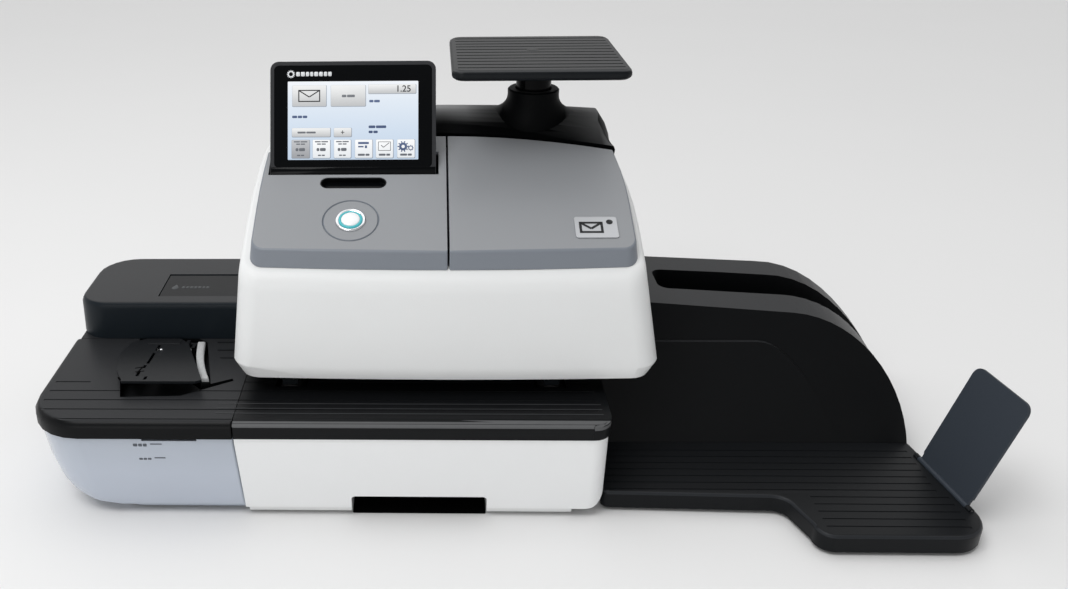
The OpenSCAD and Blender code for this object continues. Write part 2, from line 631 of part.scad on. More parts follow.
module badge_plate() color([0.78, 0.79, 0.8]) place() on_slope(housing_half - 51, crease_y + 23)
    linear_extrude(0.9) polygon(outline(-badge_w / 2, badge_w / 2, -badge_d / 2, badge_d / 2,
        [2, 2, 2, 2]));
bay_x0 = seam_x + 18;
bay_x1 = housing_half - 72;
bay_y0 = crease_y + 8;
bay_y1 = guide_y + 17;
bay_h = 42;
cartridge_h = 62;
// Width of one cartridge cell between walls of one wall thickness
cell_w = (bay_x1 - bay_x0 - 3 * wall) / 2;
module print_window(z) block(bay_x0 + 14, bay_x1 - 14, bay_y0 + 20, bay_y0 + 44, z - 1, z + 4);
module cartridge_bay() color(black) place() difference() {
    block(bay_x0, bay_x1, bay_y0, bay_y1, plate_top, plate_top + bay_h);
    for (i = [0, 1]) translate([bay_x0 + wall + i * (cell_w + wall), 0, 0])
        block(0, cell_w, bay_y0 + wall, bay_y1 - wall, plate_top + wall, plate_top + bay_h + 8);
    print_window(plate_top);
}
module ink_cartridges() color([0.16, 0.2, 0.3]) place() for (i = [0, 1])
    translate([bay_x0 + wall + fit + i * (cell_w + wall), 0, plate_top]) {
        block(0, cell_w - 2 * fit, bay_y0 + wall + fit, bay_y1 - wall - fit, wall, cartridge_h);
        along_x(4, cell_w - 2 * fit - 4) polygon([[bay_y0 + 8, cartridge_h], [bay_y1 - 8, cartridge_h],
            [bay_y1 - 8, cartridge_h + 14], [bay_y0 + 40, cartridge_h + 14]]);
    }
module main_board() color([0.1, 0.36, 0.22]) place() {
    x0 = -housing_half + 38;
    y0 = gantry_y0 - 75;
    block(x0, x0 + 110, y0, y0 + 70, plate_top + 5, plate_top + 6.6);
    for (x = [x0 + 6, x0 + 104], y = [y0 + 6, y0 + 64]) translate([x, y, plate_top]) cylinder(r = 3, h = 5);
    block(x0 + 30, x0 + 54, y0 + 22, y0 + 46, plate_top + 6.6, plate_top + 9);
    block(x0 + 66, x0 + 98, y0 + 12, y0 + 20, plate_top + 6.6, plate_top + 14);
}

// Rear cover with the pedestal of the scale
rear_gap = 1.9;
// The front wall leans back by this much, clear of the opening cover
rear_tuck = 2.6;
rear_half = cover_right - 2;
rear_z0 = rim_at(seam_y) + fit;
crest_y = seam_y + 26;
crest_z = cover_at(seam_y) + crest_h;
crest_r = 15;
// Stations of the rear cover: share of the half width, drop of the top and draw-in of the back
rear_stations = [[0, 0, 0], [0.42, 0.6, 0], [0.76, 1.8, 0.5], [0.92, 3.2, 1.6], [0.96, 13, 6.5],
    [0.99, 22, 11], [1, 26, 13]];
function station(x, k) = lookup(abs(x) / rear_half, [for (s = rear_stations) [s[0], s[k]]]);
function rear_front(x) = seam_at(x) + rear_gap;
function rear_back(x) = machine_d + overhang - rim_back - 0.6 - station(x, 2);
function rear_turn(x) = crest_y - station(x, 2) / 2;
// Height of the rear cover: it rises from the seam to the crest and rounds down to the back
function rear_top(x, y) = let (front = rear_front(x), turn = rear_turn(x), top = crest_z - station(x, 1),
        start = min(cover_at(front) - 0.6, top))
    y < turn ? start + (top - start) * sin(90 * max(0, y - front) / (turn - front))
        : top - crest_r + crest_r * sqrt(1 - pow(min(1, (y - turn) / (rear_back(x) - turn)), 2));
function rear_section(side, s, inset) =
    let (x = side * s[0] * (rear_half - inset), sink = inset > 0 ? 2 : 0,
        front = rear_front(x) + inset, turn = rear_turn(x), back = rear_back(x) - inset,
        ys = concat([for (i = [0:5]) front + (turn - front) * i / 6],
            [for (i = [0:6]) turn + (back - turn) * sin(15 * i)]))
    [for (p = concat([[back, rear_z0 - sink]],
            [for (i = [len(ys) - 1:-1:0]) [ys[i], max(rear_top(x, ys[i]) - inset, rear_z0 - sink + 0.5)]],
            [[front + rear_tuck, rim_at(front + rear_tuck) + fit - sink],
                [max(front + rear_tuck + 0.5, seam_y), rear_z0 - sink]]))
        [x * narrow(x, p[0]) / narrow(x, hinge_y), p[0], p[1]]];
function rear_rings(inset) = concat(
    [for (i = [len(rear_stations) - 1:-1:0]) rear_section(-1, rear_stations[i], inset)],
    [for (i = [1:len(rear_stations) - 1]) rear_section(1, rear_stations[i], inset)]);
function rear_hubs(inset) = [for (side = [-1, 1]) let (x = side * (rear_half - inset))
    [x * narrow(x, seam_y) / narrow(x, hinge_y), seam_y + 0.1, rear_z0 - (inset > 0 ? 2 : 0) + 1.3]];
collar_r = 22;
// The stem shows this much between the collar and the plate
stem_show = 21.8;
collar_z = max(crest_z + 2, plate_z - plate_t - stem_show);
flare = [14, 5.5];
flare_z = max(crest_z + 0.5, collar_z - 6);
stem_gap = 0.8;
// Ring of the flared collar; f is the share of the flare and rise the share of its height
function collar_ring(f, rise) = [for (i = [0:47])
    let (a = 7.5 * i, x = stem_x + (collar_r + flare[0] * f) * cos(a),
        y = stem_y + (collar_r + flare[1] * f) * sin(a), z = rear_top(x, y) - 0.3)
    [x, y, z + (flare_z - z) * rise]];
function round_ring(r, z) = [for (i = [0:47]) [stem_x + r * cos(7.5 * i), stem_y + r * sin(7.5 * i), z]];
module rear_cover() color([0.07, 0.07, 0.075]) place() difference() {
    union() {
        difference() {
            skin(rear_rings(0), hubs = rear_hubs(0));
            skin(rear_rings(wall), hubs = rear_hubs(wall));
        }
        skin(concat(
            [[for (p = collar_ring(1, 0)) p - [0, 0, 2]]],
            [for (j = [0:6]) collar_ring(1 - sin(15 * j), 1 - cos(15 * j))],
            [round_ring(collar_r, collar_z - 1.2), round_ring(collar_r - 1.2, collar_z),
                round_ring(stem_r - 1, collar_z), round_ring(stem_r - 1, crest_z - crest_r)]), true);
    }
    translate([stem_x, stem_y, crest_z - 40]) cylinder(r = stem_r + stem_gap, h = 80);
}
cell_z = gantry_z + 22;
module load_cell() color([0.8, 0.81, 0.83]) place() difference() {
    union() {
        block(stem_x - 60, stem_x + 14, stem_y - 14, stem_y - 1, gantry_z + 8, gantry_z + 20);
        block(stem_x - 60, stem_x - 40, stem_y - 14, stem_y - 6, gantry_z, gantry_z + 8);
        translate([stem_x, stem_y, gantry_z + 20]) cylinder(r = stem_r, h = 2);
        block(stem_x - 8, stem_x + 8, stem_y - 14, stem_y, gantry_z + 18, gantry_z + 22);
    }
    for (x = [-26, -14]) rod_y(stem_y - 20, stem_y + 5, stem_x + x, gantry_z + 14, 4.5);
}
module scale_stem() color(black) place() {
    translate([stem_x, stem_y, cell_z + scale_travel + 0.3])
        cylinder(r = stem_r, h = plate_z - plate_t + 2 - cell_z - scale_travel - 0.3);
    translate([stem_x, stem_y, plate_z - plate_t + 2]) cylinder(r = stem_r + 9, h = plate_t - 2 - wall - 2);
}
plate_x0 = stem_x - plate_w / 2;
plate_y0s = stem_y - plate_d / 2;
function plate_plan(inset, r) = outline(plate_x0 + inset, plate_x0 + plate_w - inset,
    plate_y0s + inset, plate_y0s + plate_d - inset, [r, r, r, r]);
plate_grooves = 11;
module scale_plate() color(charcoal) place() difference() {
    skin([
        level(plate_plan(7, 5), plate_z - wall - 2),
        level(plate_plan(5.4, 6), plate_z - plate_t),
        level(plate_plan(2.6, 8), plate_z - plate_t),
        level(plate_plan(0.6, 9), plate_z - plate_t + 1.6),
        level(plate_plan(0, 9.5), plate_z - plate_t + 3),
        level(plate_plan(0, 9.5), plate_z - 3.4),
        level(plate_plan(0.8, 9), plate_z - 1.4),
        level(plate_plan(3, 8), plate_z)]);
    for (i = [0:plate_grooves - 1]) let (y = plate_y0s + 12 + (plate_d - 24) * i / (plate_grooves - 1))
        block(plate_x0 + 5, plate_x0 + plate_w - 5, y - 1.1, y + 1.1, plate_z - 1.2, plate_z + 1);
}

// Tilting display
glass_t = 1.6;
display_r = 7;
module panel(x0, x1, z0, z1, y0, y1, r) translate([0, y1, 0]) rotate([90, 0, 0]) linear_extrude(y1 - y0)
    polygon(outline(x0, x1, z0, z1, [r, r, r, r]));
face_z0 = 1;
// Front skirt that runs down into the slot of the cover
skirt = 2.5;
skirt_t = 1.6;
module display_shell() color(charcoal) place() at_display() difference() {
    union() {
        panel(0, display_w, face_z0, display_h, 0.6, display_t - 3, display_r);
        panel(0, display_w, -skirt, 3 * display_r, 0.6, skirt_t, 1);
        panel(4, display_w - 4, face_z0 + 30, display_h - 4, display_t - 3, display_t, display_r - 2);
        difference() {
            along_x(neck_x0 - display_x, neck_x1 - display_x) {
                translate([foot_in, -foot_drop]) circle(r = 5.4);
                translate([foot_in - 5.4, -foot_drop]) square([10.8, foot_drop + face_z0 + 2]);
            }
        }
    }
    panel(3.2, display_w - 3.2, face_z0 + 3, display_h - 3.2, -1, glass_t + 0.6, display_r - 3);
    rod_x(-1, display_w + 1, foot_in, -foot_drop, pin_r + run);
}
screen_x = (display_w - screen_w) / 2;
screen_z = face_z0 + screen_margin;
module screen_hole(grow) panel(screen_x - grow, screen_x + screen_w + grow, screen_z - grow, screen_z
    + screen_h + grow,
    -1, glass_t + 2, 0.6);
module display_glass() color([0.02, 0.02, 0.025]) place() at_display() difference() {
    panel(3.4, display_w - 3.4, face_z0 + 3.2, display_h - 3.4, 0.4, glass_t + 0.6, display_r - 3);
    screen_hole(0);
}
module screen_panel() color([0.75, 0.84, 0.93]) place() at_display()
    panel(screen_x + 0.1, screen_x + screen_w - 0.1, screen_z + 0.1, screen_z + screen_h - 0.1, 0.7,
        glass_t + 0.6, 0.5);
module display_pin() color(steel) place() rod_x(arm_x[0], arm_x[1] + 4, pin_y, pin_z, pin_r);

// Moistener
tank_y1 = guide_y - 11;
tongue_z = foot_h - 0.2;
module moistener_base() color(black) place() {
    difference() {
        translate([0, 0, foot_h]) linear_extrude(deck_z - foot_h)
            polygon(outline(moist_x0 + 6, moist_x1, tank_y1 + 1, machine_d, [4, 1, 2, 33]));
        difference() {
            translate([0, 0, foot_h - 1]) linear_extrude(deck_z - wall - foot_h + 1)
                polygon(outline(moist_x0 + 6 + wall, moist_x1 - wall, tank_y1 + 1 + wall,
                    machine_d - wall, [2, 1, 1, 30]));
            for (p = moist_feet) translate([p[0], p[1], foot_h]) cylinder(r = foot_r + 3, h = 12);
        }
        block(moist_x0, moist_x1 + 1, tank_y1, guide_y, lip_z, deck_z + 1);
    }
    block(moist_x0 + 74, moist_x1 - 16, 22, tank_y1 + 3, 0.4, tongue_z);
    block(moist_x0 + 74, moist_x1 - 16, tank_y1 + 1, tank_y1 + 3, 0.4, foot_h + 1);
}
function moist_plan(inset, r) = outline(moist_x0 + inset, moist_x1, inset - 1.5, deck_end, [r, 1, 1, 2]);
well_y = guide_y - 0.5;
module well_shape() translate([moist_x1, well_y])
    polygon([[-106, 1], [-54, 1], [-44, -7], [-27, -78], [-10.5, -69.5], [-9, -73], [-48, -97],
        [-96, -99], [-104, -70]]);
module moistener_deck() color(black) place() difference() {
    skin([
        level(outline(moist_x0 + wall, moist_x1 - wall, wall - 1.5, deck_end - wall,
            [moist_r - wall, 1, 1, 2]), skin_z),
        level(outline(moist_x0 + wall, moist_x1 - wall, wall - 1.5, deck_end - wall,
            [moist_r - wall, 1, 1, 2]), lip_z),
        level(moist_plan(0, moist_r), lip_z),
        level(moist_plan(0, moist_r), deck_z - 5.6),
        level(moist_plan(1.6, moist_r - 1), deck_z - 2.4),
        level(moist_plan(3.4, moist_r - 3), deck_z - 0.6),
        level(moist_plan(5.6, moist_r - 5), deck_z)]);
    translate([0, 0, skin_z - 1]) linear_extrude(wall + 2) well_shape();
    deck_grooves(moist_x0 + 9, moist_x1 + 1, [0:3]);
    deck_grooves(moist_x0 + 9, moist_x0 + 38, [4:4]);
}
pan_y0 = well_y - 102;
pan_y1 = deck_end - wall - fit;
pan_low = lip_z + 1.2;
plate_hinge_y = well_y - 8.5;
plate_hinge_z = skin_z - 3;
plate_ears = [moist_x1 - 104, moist_x1 - 58];
plate_posts = [plate_ears[0] + 4, plate_ears[1] - 4];
module well_pan() color(black) place() difference() {
    union() {
        difference() {
            block(moist_x0 + 38, moist_x1 - 4, pan_y0, pan_y1, pan_low, skin_z);
            block(moist_x0 + 40, moist_x1 - 6, pan_y0 + 2, pan_y1 - 2, pan_low + 2, skin_z + 1);
        }
        for (x = plate_ears) block(x, x + 3, plate_hinge_y - 3, plate_hinge_y + 3, pan_low + 2,
            plate_hinge_z + 3);
    }
    for (x = plate_ears) rod_x(x - 1, x + 4, plate_hinge_y, plate_hinge_z, 1.5 + eps);
    for (x = plate_posts) block(x - 0.8, x + 3.8, plate_hinge_y + 2.9, pan_y1 + 1, plate_hinge_z - 4,
        skin_z + 1);
}
plate_rise = 5;
plate_gap = 0.6;
wet_t = 2.2;
wet_z = deck_z + plate_gap - plate_hinge_z;
wet_slots = [[-83, -16, 12], [-83.5, -38, 22], [-84.5, -55, 6], [-86, -69, 9], [-78, -77, 6]];
module flap_plate() color([0.16, 0.16, 0.17]) place() translate([0, plate_hinge_y, plate_hinge_z])
    difference() {
    union() {
        translate([moist_x1, 0, wet_z]) rotate([-plate_rise, 0, 0]) {
            difference() {
                linear_extrude(wet_t) polygon([[-113, -28], [-109, -4], [-105, -1.5], [-98, 4], [-68, 4],
                    [-59, -6], [-31.5, -80], [-36, -83], [-96, -83], [-106, -62]]);
                for (p = wet_slots) translate([p[0] - 1.2, p[1] - p[2] / 2, -1]) cube([2.4, p[2], 5]);
            }
            rod_x(-94, -66, -4, wet_t, 4);
        }
        for (x = plate_posts) along_x(x, x + 3) {
            circle(r = 2.9);
            translate([-2.9, 0]) square([5.8, wet_z + 1]);
        }
    }
    for (x = plate_posts) rod_x(x - 1, x + 4, 0, 0, 1.5 + run);
}
module plate_pin() color(steel) place()
    rod_x(plate_ears[0], plate_ears[1] + 3, plate_hinge_y, plate_hinge_z, 1.5);
felt_w = 6.5;
function felt_line(side) = [for (i = [0:8]) let (t = i / 8)
    [moist_x1 - 49 + 18 * t - 3 * sin(180 * t) + side * felt_w / 2, well_y - 8 - 69 * t]];
module felt_strip() color([0.86, 0.86, 0.84]) place() translate([0, 0, pan_low + 2])
    linear_extrude(deck_z + 1.5 - pan_low - 2)
        polygon(concat(felt_line(-1), [for (i = [8:-1:0]) felt_line(1)[i]]));
function box_plan(inset, x0) = outline(x0 + inset, box_x1, guide_y + inset * 0.6, machine_d - inset,
    [26 - inset, 1, 2, 34 - inset]);
lid_x0 = box_x1 - 6 - lid_w;
lid_y0 = guide_y + 14.5;
lid_pin_y = lid_y0 + lid_d - 10;
lid_top = box_z - 0.5;
lid_pin_z = lid_top - 5.6;
module moistener_box() color(black) place() difference() {
    union() {
        skin([
            level(outline(moist_x0 + 8, box_x1 - wall, guide_y + wall, machine_d - wall, [23, 1, 1, 31]),
                box_z - wall),
            level(outline(moist_x0 + 7, box_x1 - wall, guide_y + wall, machine_d - wall, [23, 1, 1, 31]),
                deck_z),
            level(box_plan(0, moist_x0 + 3.4), deck_z),
            level(box_plan(0, moist_x0 + 4.6), box_z - 6),
            level(box_plan(1, moist_x0 + 5), box_z - 2.6),
            level(box_plan(2.6, moist_x0 + 5), box_z - 0.7),
            level(box_plan(5, moist_x0 + 5), box_z)]);
        for (x = [lid_x0 - 5, lid_x0 + lid_w + 1])
            block(x, x + 4, lid_pin_y - 3, lid_pin_y + 3, lid_pin_z - 3, box_z - wall + eps);
    }
    block(lid_x0 - fit, lid_x0 + lid_w + fit, lid_y0 - fit, lid_y0 + lid_d + 1.4, box_z - wall - 1,
        box_z + 1);
    rod_x(lid_x0 - 6, lid_x0 + lid_w + 6, lid_pin_y, lid_pin_z, 1.5 + eps);
}
module filler_lid() color(black) place() difference() {
    union() {
        translate([0, 0, lid_top - 2.2]) linear_extrude(2.2)
            polygon(outline(lid_x0, lid_x0 + lid_w, lid_y0, lid_y0 + lid_d, [3, 3, 1, 1]));
        for (x = [lid_x0 + 4, lid_x0 + lid_w - 10]) along_x(x, x + 6) {
            translate([lid_pin_y, lid_pin_z]) circle(r = 2.9);
            translate([lid_pin_y - 2.9, lid_pin_z]) square([5.8, 3.6]);
        }
    }
    rod_x(lid_x0 - 1, lid_x0 + lid_w + 1, lid_pin_y, lid_pin_z, 1.5 + run);
}
module lid_pin() color(steel) place() rod_x(lid_x0 - 5, lid_x0 + lid_w + 5, lid_pin_y, lid_pin_z, 1.5);
tank_top = lip_z - 0.4;
tank_wall = 2.2;
// Tank rings: height share, left inset, front inset and left corner radius
tank_rows = [[foot_h, 64, 8, 20], [pan_z - 0.8, 62, 6, 20], [pan_z, 43, 3, 26], [pan_z + 3, 29, 1.4, 31],
    [pan_z + 9, 19, 0.7, 36], [pan_z + 19, 11, 0.3, 40], [pan_z + 36, 5, 0, 43]];
function tank_plan(left, front, r, z, t) = outline(moist_x0 + 2 + left + t,
    base_x0 + 5 - 5 * (z - pan_z) / (lip_z - pan_z) - 0.8 - t, front + t, tank_y1 - t, [r, 2, 2, 6]);
module water_tank() color([0.72, 0.77, 0.83, 0.7]) place() difference() {
    skin(concat(
        [for (q = tank_rows) level(tank_plan(q[1], q[2], q[3], q[0], 0), q[0])],
        [level(tank_plan(0, 0, 45, tank_top, 0), tank_top),
            level(tank_plan(0, 0, 44, tank_top, tank_wall), tank_top)],
        [for (i = [6, 5, 4]) let (q = tank_rows[i])
            level(tank_plan(q[1], q[2], q[3] - 1, q[0], tank_wall), q[0])],
        [level(tank_plan(34, 3, 28, pan_z + 4.5, tank_wall), pan_z + 4.5)]));
    block(moist_x1 - 71, moist_x1 - 28, -1, tank_wall + 1, tank_top - 2.2, tank_top + 1);
}

// Catch tray
nose_x0 = tray_x1 - tray_nose_w;
tray_edge = 12.5;
tray_bend = 14;
tray_corner = 28;
// Front edge of the tray left of its nose
tray_y0 = [9, 5.5];
function tray_points(inset) = concat(
    arc([tray_x0 + 6, tray_y0[0] + 6], 6 - inset, 180, 270),
    arc([nose_x0 - tray_bend - 6, tray_y0[1] - tray_bend], tray_bend + inset, 90, 8),
    arc([nose_x0 + tray_bend + 1, -tray_front + tray_bend], tray_bend - inset, 172, 270),
    arc([tray_x1 - tray_corner, -tray_front + tray_corner], tray_corner - inset, 270, 368, 8),
    [[tray_x1 - tray_edge - inset, ramp_y - 0.4], [tray_x0 + inset, ramp_y - 0.4]]);
tray_pitch = 9;
module at_flap() translate([flap_x, flap_y, flap_z]) rotate([0, 0, flap_yaw]) children();
barrel_r = 2.2;
flap_pin_r = 1;
module tray_deck() color(black) place() difference() {
    union() {
        difference() {
            skin([level(tray_points(0), foot_h), level(tray_points(0), tray_z - 3.2),
                level(tray_points(1), tray_z - 1), level(tray_points(3), tray_z)],
                hubs = [for (z = [foot_h, tray_z]) [nose_x0 + 25, 22, z]]);
            translate([0, 0, foot_h - 1]) linear_extrude(tray_z - foot_h - wall + 1) difference() {
                polygon(tray_points(wall));
                for (p = tray_feet) translate(p) circle(r = foot_r + 1);
            }
            for (i = [0:6]) block(tray_x0 - 1, tray_x1 - 20, 12 + i * tray_pitch, 12 + i * tray_pitch
                + groove_w,
                tray_z - groove_depth, tray_z + 1);
            for (i = [0:4]) block(nose_x0 + 10, tray_x1 - 14, 3 - i * tray_pitch, 3 - i * tray_pitch
                + groove_w,
                tray_z - groove_depth, tray_z + 1);
            at_flap() rod_y(-0.5, flap_w + 0.5, 0, 0, barrel_r + fit);
        }
        at_flap() for (y = [-5.5, flap_w + 0.5]) {
            rod_y(y, y + 5, 0, 0, barrel_r);
            block(-barrel_r, barrel_r, y, y + 5, -4 - eps, 0);
        }
    }
    at_flap() rod_y(-7, flap_w + 7, 0, 0, flap_pin_r + eps);
}
arch_x = tray_x1 - 14.5 - guard_r;
arch_z = tray_z - 2.5;
// The arch grows longer towards the back: its middle, top and reach there
rear_arch_x = arch_x + 2.5;
rear_arch_z = guard_z - 6;
rear_reach = 128;
function arch_ring(inset, low, y, curve) =
    [for (p = concat([[tray_x0 + inset, low], [tray_x0 + inset, guard_z + 2 - inset],
        [guard_x0, guard_z - inset]], curve, [[curve[len(curve) - 1][0], low]])) [p[0], y, p[1]]];
function front_curve(inset) = arc([arch_x, arch_z], guard_r - inset, 86, 0, 14);
function rear_curve(inset) = [for (i = [0:14]) let (t = sin(90 * i / 14))
    [rear_arch_x + (rear_reach - inset) * t, rear_arch_z - inset - (rear_arch_z - tray_z) * t * t]];
// The front is one plane from the foot of the ramp to the guard's left end
guard_lean = (guide_y - ramp_y) / (guard_z - tray_z);
function guard_y(z) = ramp_y + (z - tray_z) * guard_lean;
module guard_section(inset, low) polygon([[ramp_y + inset * 1.15, low], [ramp_y + inset * 1.15, tray_z],
    [guard_y(guard_z + 20) + inset * 1.15, guard_z + 20], [machine_d - inset, guard_z + 20],
        [machine_d - inset, low]]);
module guard_solid(inset, low) intersection() {
    skin([arch_ring(inset, low, ramp_y - 1, front_curve(inset)),
        arch_ring(inset, low, guide_y, front_curve(inset)),
        arch_ring(inset, low, machine_d + 1, rear_curve(inset))]);
    along_x(tray_x0 - 1, tray_x1 + 40) guard_section(inset, low);
}
ledge = 3.2;
panel_z = deck_z + 7.5;
panel_x = arch_x - 25.5;
panel_fall = 66;
module ramp_panel() intersection() {
    along_y(ramp_y - ledge - 1, guide_y) polygon(concat([[tray_x0, tray_z], [tray_x0, panel_z]],
        [for (i = [0:10]) [panel_x + panel_fall * i / 10, panel_z - (panel_z - tray_z - 5)
            * pow(i / 10, 2)]],
        [[panel_x + panel_fall + 3, tray_z]]));
    along_x(tray_x0, tray_x1) polygon([[ramp_y - 0.2, tray_z], [guard_y(panel_z) - ledge, panel_z],
        [guard_y(panel_z) + 1.5, panel_z], [ramp_y + 1.5, tray_z]]);
}
slot_x0 = guard_x0 + 21;
slot_r = 10;
module tray_guard() color(black) place() difference() {
    union() {
        difference() {
            guard_solid(0, foot_h);
            guard_solid(wall, foot_h - 1);
        }
        ramp_panel();
        for (y = [guide_y + rail_w - wall, machine_d - rail_w - wall]) intersection() {
            guard_solid(0, foot_h);
            block(slot_x0 - wall, tray_x1 + 40, y, y + 2 * wall, foot_h, guard_z + 10);
        }
        intersection() {
            guard_solid(0, foot_h);
            block(slot_x0 - wall, slot_x0 + slot_r, guide_y + rail_w, machine_d - rail_w, foot_h,
                guard_z + 10);
        }
        for (p = guard_feet) translate([p[0], p[1], foot_h]) cylinder(r = foot_r + 1, h = 12);
    }
    translate([0, 0, tray_z + 6]) linear_extrude(guard_z) polygon(outline(slot_x0, tray_x1 + 40,
        guide_y + rail_w, machine_d - rail_w, [slot_r, 1, 1, slot_r]));
    block(tray_x0 - 1, guard_x0, ramp_y - 10, machine_d + 1, deck_z - 2, guard_z + 20);
}
module stop_flap() color(charcoal) place() at_flap() difference() {
    union() {
        rotate([0, flap_lean, 0]) rotate([90, 0, 90]) linear_extrude(flap_t)
            polygon(concat([[1, 0.6], [flap_w - 1, 0.6], [flap_w - 1, 6], [flap_w, 7]],
                arc([flap_w - flap_r, flap_h - flap_r], flap_r, 0, 90),
                arc([flap_r, flap_h - flap_r], flap_r, 90, 180), [[0, 7], [1, 6]]));
        rod_y(0, flap_w, 0, 0, barrel_r);
    }
    rod_y(-1, flap_w + 1, 0, 0, flap_pin_r + run);
}
module stop_pin() color(steel) place() at_flap() rod_y(-5.5, flap_w + 5.5, 0, 0, flap_pin_r);

base_pan();
rubber_feet();
base_shell();
hold_liner();
base_deck();
rear_tower();
chassis();
drive_shaft();
drive_rollers();
drive_pulley();
exit_shaft();
exit_rollers();
exit_pulley();
drive_belt();
drive_motor();
motor_pulley();
power_supply();
power_inlet();
network_port();
throat_plate();
pressure_brackets();
entry_pressure_rollers();
exit_pressure_rollers();
gantry();
upper_housing();
left_cover();
grip_cup();
button_bezel();
button_ring();
start_button();
cartridge_cover();
badge_plate();
cover_pins();
cartridge_bay();
ink_cartridges();
main_board();
rear_cover();
load_cell();
scale_stem();
scale_plate();
display_shell();
display_glass();
screen_panel();
display_pin();
moistener_base();
moistener_deck();
well_pan();
flap_plate();
plate_pin();
felt_strip();
moistener_box();
filler_lid();
lid_pin();
water_tank();
tray_deck();
tray_guard();
stop_flap();
stop_pin();
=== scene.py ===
import json
import math
import bmesh
import bpy
from mathutils import Matrix, Vector
from mathutils.bvhtree import BVHTree


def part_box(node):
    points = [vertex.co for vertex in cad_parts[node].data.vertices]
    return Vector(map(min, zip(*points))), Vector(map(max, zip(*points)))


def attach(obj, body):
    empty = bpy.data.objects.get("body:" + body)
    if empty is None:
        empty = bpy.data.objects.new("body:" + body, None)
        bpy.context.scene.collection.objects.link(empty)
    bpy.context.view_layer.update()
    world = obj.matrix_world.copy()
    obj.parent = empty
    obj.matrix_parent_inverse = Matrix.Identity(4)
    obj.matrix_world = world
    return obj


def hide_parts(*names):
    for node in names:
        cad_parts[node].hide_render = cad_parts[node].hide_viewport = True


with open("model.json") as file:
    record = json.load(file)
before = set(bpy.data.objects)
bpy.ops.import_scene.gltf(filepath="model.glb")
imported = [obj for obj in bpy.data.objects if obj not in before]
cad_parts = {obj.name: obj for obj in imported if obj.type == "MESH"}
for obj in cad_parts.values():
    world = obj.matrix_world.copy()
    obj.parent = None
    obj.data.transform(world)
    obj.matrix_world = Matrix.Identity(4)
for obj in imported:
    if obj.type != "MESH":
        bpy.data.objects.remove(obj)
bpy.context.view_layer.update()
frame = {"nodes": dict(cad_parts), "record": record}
nodes = frame["nodes"]
scene = bpy.context.scene
bodyOf = {n: b for b, members in frame["record"]["behaviour"]["bodies"].items() for n in members}
slotOf = {p["node"]: p["material_slot"] for p in frame["record"]["subparts"]}
print("frame loaded:", len(nodes), "nodes")

# the machine's own zero: middle of the upper housing, front of the base, table level
machineShift = Vector((-0.051881, -0.119, 0))


def machine(x, y, z):
    return Vector((x, y, z)) / 1000 + machineShift


def machineSpot(v):
    return (v.co - machineShift) * 1000


cameraSettings = {
    "place": (-9.754, -642.8, 504.2),
    "pitch": 25.6,
    "yaw": 1.93,
    "roll": 0.83,
    "focalPixels": 1000.0,
    "imageWidth": 1068.0,
    "centreX": 401.6,
    "sensor": 36,
    "clip": (0.02, 50),
}


def makeCamera(s):
    pitch, yaw, roll = (math.radians(s[k]) for k in ("pitch", "yaw", "roll"))
    ahead = Vector((-math.sin(yaw) * math.cos(pitch), math.cos(yaw) * math.cos(pitch), -math.sin(pitch)))
    flat = Vector((math.cos(yaw), math.sin(yaw), 0))
    rise = flat.cross(ahead)
    right = flat * math.cos(roll) - rise * math.sin(roll)
    up = rise * math.cos(roll) + flat * math.sin(roll)
    data = bpy.data.cameras.new("camera")
    data.sensor_width = s["sensor"]
    data.lens = s["sensor"] * s["focalPixels"] / s["imageWidth"]
    data.shift_x = 0.5 - s["centreX"] / s["imageWidth"]
    data.clip_start, data.clip_end = s["clip"]
    cam = bpy.data.objects.new("camera", data)
    scene.collection.objects.link(cam)
    turn = Matrix((right, up, -ahead)).transposed().to_4x4()
    cam.matrix_world = Matrix.Translation(machine(*s["place"])) @ turn
    scene.camera = cam


makeCamera(cameraSettings)
print("camera set")


# a socket that can be written in sums
class Sock:
    def __init__(self, finish, link):
        self.finish, self.link = finish, link

    def sum(self, kind, a, b):
        return self.finish.node("ShaderNodeMath", {"operation": kind}, {0: a, 1: b})

    def __add__(self, other):
        return self.sum("ADD", self, other)

    def __radd__(self, other):
        return self.sum("ADD", other, self)

    def __sub__(self, other):
        return self.sum("SUBTRACT", self, other)

    def __rsub__(self, other):
        return self.sum("SUBTRACT", other, self)

    def __mul__(self, other):
        return self.sum("MULTIPLY", self, other)

    def __rmul__(self, other):
        return self.sum("MULTIPLY", other, self)

    def __gt__(self, other):
        return self.sum("GREATER_THAN", self, other)


frontLean = 0.10  # a face counts as leaning to the front from here on
socketNames = {
    "colour": "Base Color",
    "rough": "Roughness",
    "metal": "Metallic",
    "spec": "Specular IOR Level",
    "coat": "Coat Weight",
    "coatRough": "Coat Roughness",
    "glow": "Emission Color",
    "glowPower": "Emission Strength",
    "normal": "Normal",
    "sheen": "Sheen Weight",
}


